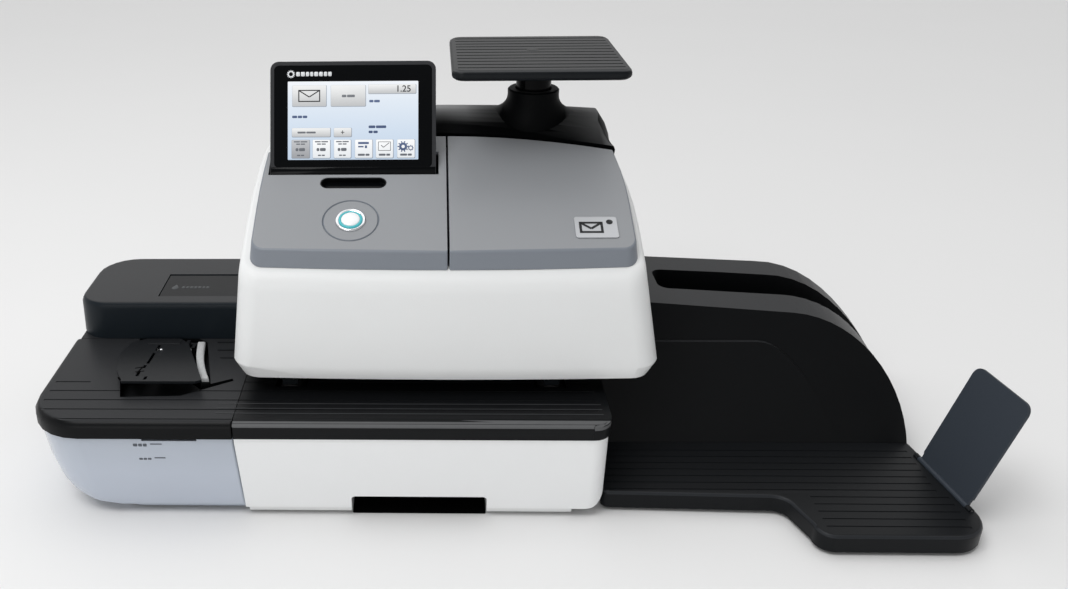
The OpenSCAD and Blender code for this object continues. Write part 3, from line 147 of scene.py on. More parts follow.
class Finish:
    def __init__(self, owner):
        owner.use_nodes = True
        self.owner, self.tree = owner, owner.node_tree

    def node(self, kind, settings=None, links=None, out=0):
        n = self.tree.nodes.new(kind)
        for key, value in (settings or {}).items():
            if key == "stops":
                for place, colour in value[2:]:
                    n.color_ramp.elements.new(place)
                for stop, (place, colour) in zip(n.color_ramp.elements, sorted(value)):
                    stop.position, stop.color = place, (*colour, 1)
            else:
                setattr(n, key, value)
        for key, value in (links or {}).items():
            self.feed(n.inputs[key], value)
        return Sock(self, n.outputs[out])

    def feed(self, socket, value):
        if isinstance(value, Sock):
            self.tree.links.new(value.link, socket)
        elif isinstance(value, tuple) and socket.type == "RGBA":
            socket.default_value = (*value, 1)
        else:
            socket.default_value = value

    def mix(self, share, a, b):
        return self.node("ShaderNodeMix", {"data_type": "RGBA"}, {0: share, 6: a, 7: b}, 2)

    def clamp(self, value):
        return self.node("ShaderNodeClamp", None, {0: value})

    def place(self):
        return self.node("ShaderNodeTexCoord", None, None, "Object")

    def vector(self, kind, a, b, out=0):
        return self.node("ShaderNodeVectorMath", {"operation": kind}, {0: a, 1: b}, out)

    def part(self, vector, k):
        return self.node("ShaderNodeSeparateXYZ", None, {0: vector}, k)

    def noise(self, scale, detail=2.0, stretch=(1, 1, 1)):
        place = self.place()
        if stretch != (1, 1, 1):
            place = self.vector("MULTIPLY", place, stretch)
        return self.node("ShaderNodeTexNoise", None, {"Vector": place, "Scale": scale, "Detail": detail})

    def facing(self, k):
        return self.part(self.node("ShaderNodeNewGeometry", None, None, "Normal"), k)

    # 1 on faces that lean to the front with their normal's rise between the two bounds: the mask of painted
    # light or shade on front bevels
    def paintedBevelTone(self, low, high):
        y, z = self.facing(1), self.facing(2)
        return (z > low) * (high - z > 0) * (-frontLean - y > 0)

    # 1 on faces that look up: the mask of painted light, a lighter top tone in the base colour
    def paintedTopLight(self, low, high):
        return self.clamp((self.facing(2) - low) * (1 / (high - low)))

    # 0 close to an upright axis and 1 away from it, distances in mm
    def apart(self, middle, low, high):
        flat = self.vector("MULTIPLY", self.place(), (1, 1, 0))
        far = self.vector("DISTANCE", flat, middle, "Value")
        return self.clamp((far - low / 1000) * (1000 / (high - low)))

    def bump(self, height, depth):
        return self.node("ShaderNodeBump", None, {"Height": height, "Distance": depth, "Strength": 1.0})

    def shade(self, **sockets):
        surface = self.tree.nodes["Principled BSDF"]
        for key, value in sockets.items():
            self.feed(surface.inputs[socketNames[key]], value)
        return self.owner


def newFinish(name):
    return Finish(bpy.data.materials.new(name))


def scaled(colour, by):
    return tuple(c * by for c in colour)


# moulded plastic: a fine spark-eroded grain under a faint cloudiness, with painted light on faces that look
# up and painted light or shade on front bevels where the settings ask for it
def moulded(name, own):
    s = {**plasticBase, **own}
    f = newFinish(name)
    grain, cloud = f.noise(s["grainScale"]), f.noise(s["cloudScale"], s["cloudDetail"])
    tone = f.clamp(cloud * s["cloudGain"] - s["toneDrop"] + grain * s["grainGain"])
    colour = f.mix(tone, scaled(s["colour"], 1 - s["cloud"]), scaled(s["colour"], 1 + s["cloud"]))
    # painted light: faces that look up get the lighter top tone
    if "top" in s:
        share = f.paintedTopLight(*s["rise"])
        if "apart" in s:
            share = share * f.apart(*s["apart"])
        colour = f.mix(share, colour, s["top"])
    # painted highlight or painted shade on front bevels, by which way the face looks
    if "bevel" in s:
        colour = f.mix(f.paintedBevelTone(*s["tilt"]), colour, s["bevel"])
    return f.shade(
        colour=colour,
        rough=s["rough"] + (cloud - 0.5) * s["roughCloud"] + (grain - 0.5) * s["roughCloud"],
        spec=s["spec"],
        coat=s["coat"],
        coatRough=s["coatRough"],
        normal=f.bump(grain, s["grainDepth"]),
    )


plasticBase = {
    "grainScale": 1500.0,
    "grainDepth": 0.00006,
    "grainGain": 0.4,
    "cloudScale": 9.0,
    "cloudDetail": 3.0,
    "cloudGain": 1.6,
    "toneDrop": 0.5,
    "cloud": 0.03,
    "roughCloud": 0.08,
    "rough": 0.4,
    "spec": 0.4,
    "coat": 0.0,
    "coatRough": 0.1,
    "rise": (0.75, 0.95),
}
plastics = {
    "white_shell": {"colour": (0.775, 0.785, 0.785), "rough": 0.42, "cloud": 0.015},
    "grey_cover": {
        "colour": (0.265, 0.275, 0.29), "rough": 0.36, "cloud": 0.02, "grainDepth": 0.00004,
        # painted shade: a darker, bluer tone on the front bevel
        "bevel": (0.19, 0.21, 0.24), "tilt": (-0.1, 0.85),
    },
    "black_shell": {
        "colour": (0.0042, 0.0046, 0.0052), "rough": 0.36, "spec": 0.11, "cloud": 0.15,
        # painted light: a lighter tone on faces that look up
        "top": (0.022, 0.023, 0.025),
    },
    "black_gloss": {
        "colour": (0.003, 0.0034, 0.004), "rough": 0.12, "spec": 0.10, "cloud": 0.15, "grainDepth": 0.00001,
    },
    "charcoal": {
        "colour": (0.0056, 0.0070, 0.0087), "rough": 0.38, "spec": 0.14, "cloud": 0.1,
        # painted light: a lighter tone on faces that look up
        "top": (0.0125, 0.0135, 0.015),
    },
    "button_white": {
        "colour": (0.88, 0.89, 0.90), "rough": 0.12, "cloud": 0.01, "coat": 0.6, "grainDepth": 0.00001,
    },
    "rubber": {
        "colour": (0.016, 0.016, 0.017), "rough": 0.75, "spec": 0.3, "cloud": 0.2, "grainDepth": 0.00015,
    },
    "ink": {"colour": (0.03, 0.035, 0.05), "rough": 0.3, "cloud": 0.1},
}
finishes = {name: moulded(name, s) for name, s in plastics.items()}

# pieces whose tone differs from the rest of their kind
stemAt = (77.5, 212.5)
ownPlastics = {
    # painted sheen: the crest is lighter in the base colour where it looks up, more so away from the collar
    "rear_cover": {
        "colour": (0.0020, 0.0023, 0.0026), "rough": 0.42, "spec": 0.04,
        "top": (0.25, 0.253, 0.256), "rise": (0.74, 1.0), "apart": (machine(*stemAt, 0), 10.0, 58.0),
    },
    "scale_stem": {"colour": (0.0014, 0.0015, 0.0017), "rough": 0.14, "spec": 0.06, "grainDepth": 0.00001},
    # painted highlight: a lighter tone on the front chamfer, over charcoal's painted light on faces that look
    # up
    "scale_plate": {**plastics["charcoal"], "bevel": (0.042, 0.044, 0.047), "tilt": (0.72, 0.975)},
    "display_shell": {"colour": (0.026, 0.027, 0.030), "rough": 0.4, "spec": 0.25},
    "stop_flap": {"colour": (0.036, 0.044, 0.056), "rough": 0.42, "spec": 0.2},
    # painted light: lighter on faces that look up
    "filler_lid": {
        "colour": (0.0045, 0.005, 0.0055), "rough": 0.4, "spec": 0.11, "top": (0.012, 0.0125, 0.0135),
    },
    # painted light: lighter on faces that look up
    "moistener_box": {
        "colour": (0.0095, 0.0135, 0.0175), "rough": 0.36, "spec": 0.12, "top": (0.029, 0.030, 0.032),
    },
    "base_shell": {"colour": (0.845, 0.855, 0.86), "rough": 0.42, "cloud": 0.015},
    # near-black and dull: painted shade for the inside of the hand-hold; the same finish fills the slot marks
    # and floors further down
    "hold_liner": {"colour": (0.0015, 0.0015, 0.0016), "rough": 0.8, "spec": 0.02},
    # painted highlight: a lighter tone on the front bevel of the deck's nose
    "base_deck": {
        "colour": (0.0055, 0.0060, 0.0068), "rough": 0.36, "spec": 0.13,
        "bevel": (0.10, 0.102, 0.105), "tilt": (0.30, 0.98),
    },
    # painted highlight: a lighter tone on the tray's front bevels
    "tray_deck": {
        "colour": (0.0058, 0.0066, 0.0078), "rough": 0.36, "spec": 0.14,
        "bevel": (0.022, 0.024, 0.027), "tilt": (0.30, 0.93),
    },
}
ownFinish = {name: moulded(name + "Own", s) for name, s in ownPlastics.items()}
markPlastics = {
    "markWhite": {"colour": (0.74, 0.76, 0.78)},
    "markGrey": {"colour": (0.060, 0.064, 0.068), "spec": 0.15},
    "markDark": {"colour": (0.02, 0.021, 0.023), "spec": 0.2},
    "markSlate": {"colour": (0.09, 0.10, 0.12)},
    # painted highlight: a lighter grey for lines that catch the light
    "ribHighlightGrey": {"colour": (0.045, 0.047, 0.05), "spec": 0.2},
}
markFinish = {name: moulded(name, s) for name, s in markPlastics.items()}


# sheet and turned metal: streaks along one way
def metal(name, own):
    s = {**metalBase, **own}
    f = newFinish(name)
    streak = f.noise(s["streakScale"], s["detail"], s["stretch"])
    cloud = f.noise(s["cloudScale"], s["detail"])
    tone = f.clamp(streak * s["streakShare"] + cloud * (1 - s["streakShare"]))
    return f.shade(
        colour=f.mix(tone, scaled(s["colour"], s["dark"]), s["colour"]),
        metal=1.0,
        rough=s["rough"] + (streak - 0.5) * s["roughSpread"],
        normal=f.bump(streak, s["depth"]),
    )


metalBase = {"cloudScale": 14.0, "detail": 3.0, "streakShare": 0.6, "dark": 0.9, "depth": 0.00002}
metals = {
    "steel": {
        "colour": (0.62, 0.63, 0.64), "rough": 0.32, "roughSpread": 0.2,
        "streakScale": 260.0, "stretch": (0.05, 1, 1),
    },
    "chrome": {
        "colour": (0.82, 0.83, 0.85), "rough": 0.10, "roughSpread": 0.05,
        "streakScale": 400.0, "stretch": (1, 1, 0.2),
    },
    "silver": {
        "colour": (0.50, 0.51, 0.53), "rough": 0.42, "roughSpread": 0.12,
        "streakScale": 500.0, "stretch": (0.05, 1, 1),
    },
}
finishes.update({name: metal(name, s) for name, s in metals.items()})

tankSettings = {
    "low": (0.475, 0.52, 0.60), "high": (0.415, 0.455, 0.52), "bottom": 0.040, "top": 0.078,
    "cloudScale": 22.0, "cloudDetail": 3.0, "cloud": 0.25, "rough": 0.22, "roughCloud": 0.1,
    "coat": 0.5, "coatRough": 0.08, "spec": 0.5,
}


# the look of smoky plastic, paler towards the bottom
def tankFinish(s):
    f = newFinish("tank_clear")
    height = f.part(f.place(), 2)
    share = f.node("ShaderNodeMapRange", None, {0: height, 1: s["bottom"], 2: s["top"], 3: 0.0, 4: 1.0})
    cloud = f.noise(s["cloudScale"], s["cloudDetail"])
    return f.shade(
        colour=f.mix(f.clamp(share + (cloud - 0.5) * s["cloud"]), s["low"], s["high"]),
        rough=s["rough"] + (cloud - 0.5) * s["roughCloud"],
        coat=s["coat"],
        coatRough=s["coatRough"],
        spec=s["spec"],
    )


finishes["tank_clear"] = tankFinish(tankSettings)

feltSettings = {
    "low": (0.36, 0.37, 0.38), "high": (0.62, 0.63, 0.63), "fibreScale": 900.0, "tuftScale": 160.0,
    "detail": 4.0, "stretch": (1, 0.25, 1), "fibreGain": 0.7, "tuftGain": 0.5, "toneDrop": 0.1,
    "rough": 0.95, "spec": 0.1, "sheen": 0.3, "depth": 0.0006,
}


def feltFinish(s):
    f = newFinish("felt")
    fibre = f.noise(s["fibreScale"], s["detail"], s["stretch"])
    tuft = f.noise(s["tuftScale"], s["detail"])
    tone = f.clamp(fibre * s["fibreGain"] + tuft * s["tuftGain"] - s["toneDrop"])
    return f.shade(
        colour=f.mix(tone, s["low"], s["high"]),
        rough=s["rough"],
        spec=s["spec"],
        sheen=s["sheen"],
        normal=f.bump(fibre + tuft, s["depth"]),
    )


finishes["felt"] = feltFinish(feltSettings)

boardSettings = {
    "bare": (0.012, 0.075, 0.035), "low": (0.03, 0.13, 0.06), "high": (0.05, 0.17, 0.08),
    "traceScale": 120.0, "traceDetail": 1.0, "stretch": (1, 0.12, 1), "traceFrom": 0.56, "maskScale": 40.0,
    "rough": 0.32, "roughMask": 0.1, "depth": 0.00003,
}


# green board with traces under the lacquer
def boardFinish(s):
    f = newFinish("board_green")
    trace = f.noise(s["traceScale"], s["traceDetail"], s["stretch"]) > s["traceFrom"]
    mask = f.noise(s["maskScale"])
    return f.shade(
        colour=f.mix(trace, s["bare"], f.mix(mask, s["low"], s["high"])),
        rough=s["rough"] + mask * s["roughMask"],
        normal=f.bump(trace, s["depth"]),
    )


finishes["board_green"] = boardFinish(boardSettings)

ringSettings = {
    "colour": (0.06, 0.36, 0.40), "low": (0.03, 0.42, 0.46), "high": (0.08, 0.55, 0.60), "power": 0.3,
    "cloudScale": 300.0, "rough": 0.25, "roughCloud": 0.1,
}


def ringFinish(s):
    f = newFinish("light_ring")
    cloud = f.noise(s["cloudScale"])
    return f.shade(
        colour=s["colour"],
        rough=s["rough"] + cloud * s["roughCloud"],
        glow=f.mix(cloud, s["low"], s["high"]),
        glowPower=s["power"],
    )


finishes["light_ring"] = ringFinish(ringSettings)

# the display leans back; u runs right, v up the face, w into it
displayFrame = {"left": -143.5, "hinge": 143.0, "level": 239.07, "lean": math.radians(25.6)}


def onDisplay(u, v, w):
    d = displayFrame
    c, s = math.cos(d["lean"]), math.sin(d["lean"])
    return machine(d["left"] + u, d["hinge"] + w * c + v * s, d["level"] - w * s + v * c)


screenDrop = 1.3  # the lit area stands this much lower than in the CAD
screenArea = {"left": 14.5, "low": 12.0 - screenDrop, "wide": 108.0, "tall": 64.8}
screenLook = {
    "shades": [
        (0.0, (0.53, 0.64, 0.78)), (0.35, (0.62, 0.72, 0.84)),
        (0.75, (0.74, 0.81, 0.89)), (1.0, (0.88, 0.91, 0.95)),
    ],
    "colour": (0.02, 0.02, 0.025), "rough": 0.3, "spec": 0.2, "power": 1.0,
}


# a lit panel, paler towards its top edge
def screenFinish(s, area):
    f = newFinish("screen")
    foot = onDisplay(area["left"], area["low"], 0)
    rise = onDisplay(area["left"], area["low"] + area["tall"], 0) - foot
    off = f.vector("SUBTRACT", f.place(), tuple(foot))
    along = f.vector("DOT_PRODUCT", off, tuple(rise / rise.length_squared), "Value")
    shade = f.node("ShaderNodeValToRGB", {"stops": s["shades"]}, {0: along})
    return f.shade(colour=s["colour"], rough=s["rough"], spec=s["spec"], glow=shade, glowPower=s["power"])


finishes["screen"] = screenFinish(screenLook, screenArea)
print("finishes made:", len(finishes))


def link(name, mesh, finish, body, slot):
    piece = bpy.data.objects.new(name, mesh)
    scene.collection.objects.link(piece)
    mesh.materials.clear()
    mesh.materials.append(finish)
    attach(piece, body)
    return piece


def settle(bm, name, crease):
    bmesh.ops.recalc_face_normals(bm, faces=bm.faces)
    for face in bm.faces:
        face.smooth = True
    for edge in bm.edges:
        edge.smooth = len(edge.link_faces) == 2 and edge.calc_face_angle(0) < math.radians(crease)
    mesh = bpy.data.meshes.new(name)
    bm.to_mesh(mesh)
    bm.free()
    return mesh


# edge rounding in mm; a piece that isn't named keeps its CAD edges
edgeRound = {
    "base_shell": 1.2, "base_pan": 0.6, "base_deck": 0.5, "rear_tower": 0.8, "throat_plate": 0.5,
    "pressure_brackets": 0.4, "grip_cup": 0.4, "button_bezel": 0.3, "badge_plate": 0.3, "display_shell": 0.7,
    "display_glass": 0.15, "moistener_base": 0.5, "well_pan": 0.3, "flap_plate": 0.3, "filler_lid": 0.8,
    "water_tank": 0.6, "tray_guard": 0.8, "stop_flap": 0.6, "rubber_feet": 0.5, "power_inlet": 0.4,
    "network_port": 0.3,
}
# angles in degrees
dressing = {"seam": 1e-6, "flat": 0.4, "sharp": 33.0, "crease": 42.0, "steps": 2, "profile": 0.55}


# the CAD solid with its edges rounded off and its curves shaded smooth
def dress(node, radius, s):
    bm = bmesh.new()
    bm.from_mesh(nodes[node].data)
    bmesh.ops.remove_doubles(bm, verts=bm.verts, dist=s["seam"])
    bmesh.ops.dissolve_limit(bm, angle_limit=math.radians(s["flat"]), verts=bm.verts, edges=bm.edges)
    if radius:
        paired = [e for e in bm.edges if len(e.link_faces) == 2]
        sharp = [e for e in paired if e.calc_face_angle(0) > math.radians(s["sharp"])]
        bmesh.ops.bevel(
            bm, geom=sharp, offset=radius / 1000, segments=s["steps"], profile=s["profile"],
            affect="EDGES", clamp_overlap=True,
        )
    finish = ownFinish.get(node, finishes[slotOf[node]])
    piece = link(node + ".skin", settle(bm, node, s["crease"]), finish, bodyOf[node], slotOf[node])
    keep = piece.modifiers.new("even", "WEIGHTED_NORMAL")
    keep.keep_sharp = True
    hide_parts(node)
    return piece


# the felt gets a piece of its own further down
skins = {node: dress(node, edgeRound.get(node, 0.0), dressing) for node in nodes if node != "felt_strip"}
print("dressed:", len(skins), "nodes")

screenMargin = 0.5


# the window in the glass and the lit panel behind it stand a little lower than the middle
def lowerScreen(mesh, area, margin):
    drop = onDisplay(0, -screenDrop, 0) - onDisplay(0, 0, 0)
    foot = onDisplay(area["left"], area["low"] + screenDrop, 0)
    across, rise = (onDisplay(*way, 0) - onDisplay(0, 0, 0) for way in ((1, 0), (0, 1)))
    for v in mesh.vertices:
        off = v.co - foot
        u, h = off.dot(across) * 1e6, off.dot(rise) * 1e6
        if -margin < u < area["wide"] + margin and -margin < h < area["tall"] + margin:
            v.co += drop


for node in ("display_glass", "screen_panel"):
    lowerScreen(skins[node].data, screenArea, screenMargin)

# the deck and the shell under it reach a little further out at the right
baseReach = {"base_shell": 1.6, "base_deck": 3.0}
reachOver = 22.0


# the full reach over the outer half of the stretch, then fading out
def reachRight(mesh, by, over):
    end = max(v.co.x for v in mesh.vertices)
    for v in mesh.vertices:
        share = max(0.0, 1 - (end - v.co.x) * 1000 / over)
        v.co.x += by / 1000 * min(1.0, share * 2)


for node, by in baseReach.items():
    reachRight(skins[node].data, by, reachOver)

# the right end of the rear cover is fuller than a plain round, and drawn in at its front
rearFull = {
    "steps": [(118.0, 0.0), (133.0, 5.0), (140.0, 4.0), (144.5, 1.8), (146.5, 0.0)],
    "toe": [(138.0, 0.0), (146.5, -2.2), (147.0, -2.2)],
    "toeDepth": (178.0, 208.0),
}


def between(x, steps):
    for (a, low), (b, high) in zip(steps, steps[1:]):
        if a <= x < b:
            return low + (high - low) * (x - a) / (b - a)
    return 0.0


def fillEnd(mesh, s):
    near, far = s["toeDepth"]
    for v in mesh.vertices:
        here = machineSpot(v)
        share = min(1.0, max(0.0, (here.y - near) / (far - near)))
        v.co.x += (between(here.x, s["toe"]) * (1 - share) + between(here.x, s["steps"]) * share) / 1000


fillEnd(skins["rear_cover"].data, rearFull)

# the deck's front edge slopes down over its last few millimetres
deckNose = {"level": 87.0, "round": 4.0, "fall": 1.5, "depth": 7.5, "slack": 0.1}


def slopeNose(mesh, s):
    bm = bmesh.new()
    bm.from_mesh(mesh)
    everything = bm.verts[:] + bm.edges[:] + bm.faces[:]
    bmesh.ops.bisect_plane(bm, geom=everything, plane_co=machine(0, s["depth"], 0), plane_no=(0, 1, 0))
    for v in bm.verts:
        here = machineSpot(v)
        if here.y < s["depth"] - s["slack"] and here.z > s["level"] - s["round"]:
            v.co.z -= s["fall"] * (here.z - s["level"] + s["round"]) / s["round"] / 1000
    bm.to_mesh(mesh)
    bm.free()


slopeNose(skins["base_deck"].data, deckNose)

# the grooves are worn shallow; level of each ribbed face, and depths
grooved = {"base_deck": 87.0, "moistener_deck": 87.0, "tray_deck": 18.0}
grooveDepths = {"from": (0.5, 0.9), "to": 0.4}


def shallow(mesh, level, s):
    for v in mesh.vertices:
        below = level - v.co.z * 1000
        if s["from"][0] < below < s["from"][1]:
            v.co.z = (level - s["to"]) / 1000


for node, level in grooved.items():
    shallow(skins[node].data, level, grooveDepths)

# the bead over the plate's hinge is low, almost flush with the plate
wetPlate = {
    "hinge": (128.0, 81.0), "rise": 6.6, "tilt": math.radians(5), "thick": 2.2, "bead": 0.25, "press": 0.96,
}


def lowerBead(mesh, s):
    for v in mesh.vertices:
        here = machineSpot(v)
        y, z = here.y - s["hinge"][0], here.z - s["hinge"][1] - s["rise"]
        over = y * math.sin(s["tilt"]) + z * math.cos(s["tilt"]) - s["thick"] - s["bead"]
        if over > 0:
            v.co.z -= over * s["press"] / math.cos(s["tilt"]) / 1000


lowerBead(skins["flap_plate"].data, wetPlate)


def roundedBox(a0, a1, b0, b1, r, steps=4):
    corners = [(a1 - r, b0 + r, -90), (a1 - r, b1 - r, 0), (a0 + r, b1 - r, 90), (a0 + r, b0 + r, 180)]
    made = []
    for a, b, start in corners:
        turns = [math.radians(start + 90 * k / steps) for k in range(steps + 1)]
        made += [(a + r * math.cos(t), b + r * math.sin(t)) for t in turns]
    return made


def disc(a, b, r, count=28):
    turns = [2 * math.pi * k / count for k in range(count)]
    return [(a + r * math.cos(t), b + r * math.sin(t)) for t in turns]


def bar(a0, b0, a1, b1, wide):
    one, two = Vector((a0, b0)), Vector((a1, b1))
    side = (two - one).normalized().orthogonal() * wide / 2
    return [tuple(q) for q in (one + side, one - side, two - side, two + side)][::-1]


def moved(outlines, a, b):
    return [[(x + a, y + b) for x, y in outline] for outline in outlines]


# mitred, but held short at sharp corners
def inset(outline, by):
    made = []
    for k, (a, b) in enumerate(outline):
        before, after = Vector(outline[k - 1]), Vector(outline[(k + 1) % len(outline)])
        one, two = (Vector((a, b)) - before).normalized(), (after - Vector((a, b))).normalized()
        lean = Vector((-(one.y + two.y), one.x + two.x))
        spread = max(lean.length_squared / 2, 0.5)
        made.append((a + lean.x * by / spread, b + lean.y * by / spread))
    return made


# a plate with a softened front edge; place turns (a, b, depth) in mm into frame metres
def slabInto(bm, outline, place, back, front, soft):
    way = 1 if front > back else -1
    rings = [(outline, back), (outline, front - way * soft), (inset(outline, soft), front)]
    rows = [[bm.verts.new(place(a, b, depth)) for a, b in shape] for shape, depth in rings]
    count = len(outline)
    for low, top in zip(rows, rows[1:]):
        for k in range(count):
            bm.faces.new((low[k], low[(k + 1) % count], top[(k + 1) % count], top[k]))
    bm.faces.new(rows[0][::-1])
    bm.faces.new(rows[-1])


def slab(name, outlines, place, back, front, soft, finish, body, slot, crease=50.0):
    bm = bmesh.new()
    for outline in outlines:
        slabInto(bm, outline, place, back, front, soft)
    return link(name, settle(bm, name, crease), finish, body, slot)


# outline of a closed letter with its flap folded down
def letterMark(wide, tall, thick, fold=-0.25):
    a, b = wide / 2, tall / 2
    return [
        bar(-a, -b, a, -b, thick),
        bar(-a, b, a, b, thick),
        bar(-a, -b - thick / 2, -a, b + thick / 2, thick),
        bar(a, -b - thick / 2, a, b + thick / 2, thick),
        bar(-a, b, 0, b * fold, thick),
        bar(0, b * fold, a, b, thick),
    ]


# shares of half a tooth's pitch and of the ring's width; sink in mm
toothShape = {"lap": 1.02, "low": 0.45, "high": 0.35, "reach": 0.6, "sink": 0.05}


# a ring of teeth
def ringOutlines(a, b, r, wide, teeth):
    t = toothShape
    half, foot, tip = math.pi / teeth * t["lap"], r - t["sink"], r + wide * t["reach"]
    low, high = half * t["low"], half * t["high"]
    body = [(r, -half), (r, half), (r - wide, half), (r - wide, -half)]
    tooth = [(foot, -low), (foot, low), (tip, high), (tip, -high)]
    made = []
    for k in range(teeth):
        turn = 2 * math.pi * k / teeth
        for shape in (body, tooth):
            made.append([(a + q * math.cos(turn + w), b + q * math.sin(turn + w)) for q, w in shape])
    return made


blockRound = 0.2  # share of a block's height


# a row of blank blocks in place of lettering
def blankWord(a, b, tall, widths, gap):
    made = []
    for wide in widths:
        made.append(roundedBox(a, a + wide, b - tall / 2, b + tall / 2, tall * blockRound, 2))
        a += wide + gap
    return made


# shares of the lit area, from its left and from its top, to mm on the display
def screenBox(u0, u1, t0, t1):
    left, top = screenArea["left"], screenArea["low"] + screenArea["tall"]
    return (
        left + u0 * screenArea["wide"], left + u1 * screenArea["wide"],
        top - t1 * screenArea["tall"], top - t0 * screenArea["tall"],
    )


inkLook = {
    "colour": (0.02, 0.02, 0.02), "rough": 0.35, "spec": 0.1, "power": 1.0,
    "cloudScale": 900.0, "cloud": 0.15,
}


def glowing(name, lowColour, highColour, s):
    f = newFinish(name)
    height = f.part(f.node("ShaderNodeTexCoord", None, None, "Generated"), 2)
    tone = f.clamp(height + (f.noise(s["cloudScale"]) - 0.5) * s["cloud"])
    glow = f.mix(tone, lowColour, highColour)
    return f.shade(colour=s["colour"], rough=s["rough"], spec=s["spec"], glow=glow, glowPower=s["power"])


# light at the foot and at the top of each
inkColours = {
    "keySilver": ((0.52, 0.53, 0.54), (0.86, 0.87, 0.87)),
    "keyWhite": ((0.78, 0.81, 0.84), (0.95, 0.96, 0.97)),
    "keyGrey": ((0.33, 0.34, 0.36), (0.52, 0.53, 0.55)),
    "keyShade": ((0.24, 0.27, 0.32), (0.34, 0.38, 0.44)),
    "inkDark": ((0.012, 0.012, 0.014), (0.02, 0.02, 0.024)),
    "inkGrey": ((0.13, 0.14, 0.16), (0.18, 0.19, 0.21)),
    "inkBlue": ((0.05, 0.08, 0.17), (0.10, 0.14, 0.26)),
}
screenInks = {name: glowing(name, *ends, inkLook) for name, ends in inkColours.items()}
# share of width and height of each key, and its face
screenKeys = [
    (0.035, 0.295, 0.050, 0.318, "keySilver"),
    (0.331, 0.596, 0.050, 0.318, "keySilver"),
    (0.618, 0.981, 0.043, 0.159, "keySilver"),
    (0.032, 0.327, 0.595, 0.706, "keySilver"),
    (0.354, 0.488, 0.595, 0.706, "keySilver"),
    (0.030, 0.167, 0.745, 0.977, "keyGrey"),
    (0.192, 0.325, 0.745, 0.977, "keyWhite"),
    (0.355, 0.484, 0.745, 0.977, "keyWhite"),
    (0.516, 0.649, 0.745, 0.977, "keyWhite"),
    (0.676, 0.807, 0.745, 0.977, "keyWhite"),
    (0.839, 0.972, 0.745, 0.977, "keyWhite"),
]
priceKeys, nameKeys = screenKeys[5:8], screenKeys[8:]
keyShape = {
    "round": 0.8, "soft": 0.03,
    "shadeOver": (0.15, 0.5, 0.5, 0.12),  # past the key at its left, right, foot and top
    "shadeRound": 1.0, "shadeSoft": 0.02,
}
# depths into the display, from the lit panel forward
screenDepth = {"panel": 0.705, "shade": 0.67, "key": 0.60, "ink": 0.56, "soft": 0.01}
# blank bars in place of words: their box, and where the gaps are
greyWords = [(0.415, 0.515, 0.172, 0.205, (0.35,)), (0.075, 0.215, 0.640, 0.664, (0.45,))]
blueWords = [
    (0.625, 0.706, 0.240, 0.272, (0.4,)), (0.034, 0.150, 0.436, 0.468, (0.33, 0.66)),
    (0.620, 0.755, 0.566, 0.600, (0.38,)), (0.620, 0.690, 0.632, 0.664, (0.45,)),
]
# rows in each price key, drawn in from the key's sides by shares of its width
priceRows = [
    (0.12, 0.12, 0.762, 0.778, (0.45,)), (0.25, 0.25, 0.792, 0.808, (0.45,)),
    (0.22, 0.25, 0.850, 0.890, (0.3,)), (0.3, 0.3, 0.935, 0.952, (0.45,)),
]
# the row at the foot of each name key
nameRow = {"in": 0.022, "rows": (0.925, 0.952), "gaps": (0.6,)}
wordShape = {"gap": 0.5, "round": 0.3}
# signs: boxes in shares of the lit area, the rest in mm
screenSigns = {
    "letter": (0.085, 0.245, 0.115, 0.255), "letterThick": 0.9, "letterFold": -0.2,
    "plus": (0.354, 0.488, 0.595, 0.706), "plusHalf": 1.5, "plusThick": 0.55,
    "form": (0.695, 0.788, 0.775, 0.885), "formThick": 0.4,
    "tickThick": 0.5, "tickFrom": (2.2, 4.4), "tickTurn": (4.2, 2.6), "tickTo": (1.2, 0.8),
    "gears": (0.845, 0.966, 0.770, 0.900),
    "wideGear": 4.2, "wideTeeth": (3.4, 2.0, 10), "smallGear": (2.6, 1.2), "smallTeeth": (2.0, 0.7, 8),
    "label": (0.540, 0.622, 0.775, 0.860),
    "headDrop": 0.9, "headThick": 1.8, "lineRise": 1.6, "lineLong": 4.5, "lineThick": 1.2,
    "stampIn": 2.4, "stampRise": (0.4, 2.6), "stampThick": 1.8,
}


def strokes(name, ink, outlines):
    d = screenDepth
    slab(name, outlines, onDisplay, d["key"], d["ink"], d["soft"], screenInks[ink], "display", "screen")


def words(u0, u1, t0, t1, gaps):
    a0, a1, b0, b1 = screenBox(u0, u1, t0, t1)
    ends = [0.0, *gaps, 1.0]
    made = []
    for k, (start, end) in enumerate(zip(ends, ends[1:])):
        left = a0 + (a1 - a0) * start + (wordShape["gap"] if k else 0)
        made.append(roundedBox(left, a0 + (a1 - a0) * end, b0, b1, (b1 - b0) * wordShape["round"], 2))
    return made


def makeKeys(s, d):
    shades = []
    left, right, foot, top = s["shadeOver"]
    for k, (*box, face) in enumerate(screenKeys):
        a0, a1, b0, b1 = screenBox(*box)
        shades.append(roundedBox(a0 - left, a1 + right, b0 - foot, b1 + top, s["shadeRound"]))
        slab(
            f"screenKey{k + 1}", [roundedBox(a0, a1, b0, b1, s["round"])], onDisplay, d["shade"], d["key"],
            s["soft"], screenInks[face], "display", "screen",
        )
    slab(
        "screenKeyShades", shades, onDisplay, d["panel"], d["shade"], s["shadeSoft"], screenInks["keyShade"],
        "display", "screen",
    )


def makeWords():
    grey = [outline for row in greyWords for outline in words(*row)]
    for u0, u1, *_ in priceKeys:
        for left, right, *row in priceRows:
            grey += words(u0 + (u1 - u0) * left, u1 - (u1 - u0) * right, *row)
    for u0, u1, *_ in nameKeys:
        grey += words(u0 + nameRow["in"], u1 - nameRow["in"], *nameRow["rows"], nameRow["gaps"])
    strokes("screenWords", "inkGrey", grey)
    strokes("screenNotes", "inkBlue", [outline for row in blueWords for outline in words(*row)])


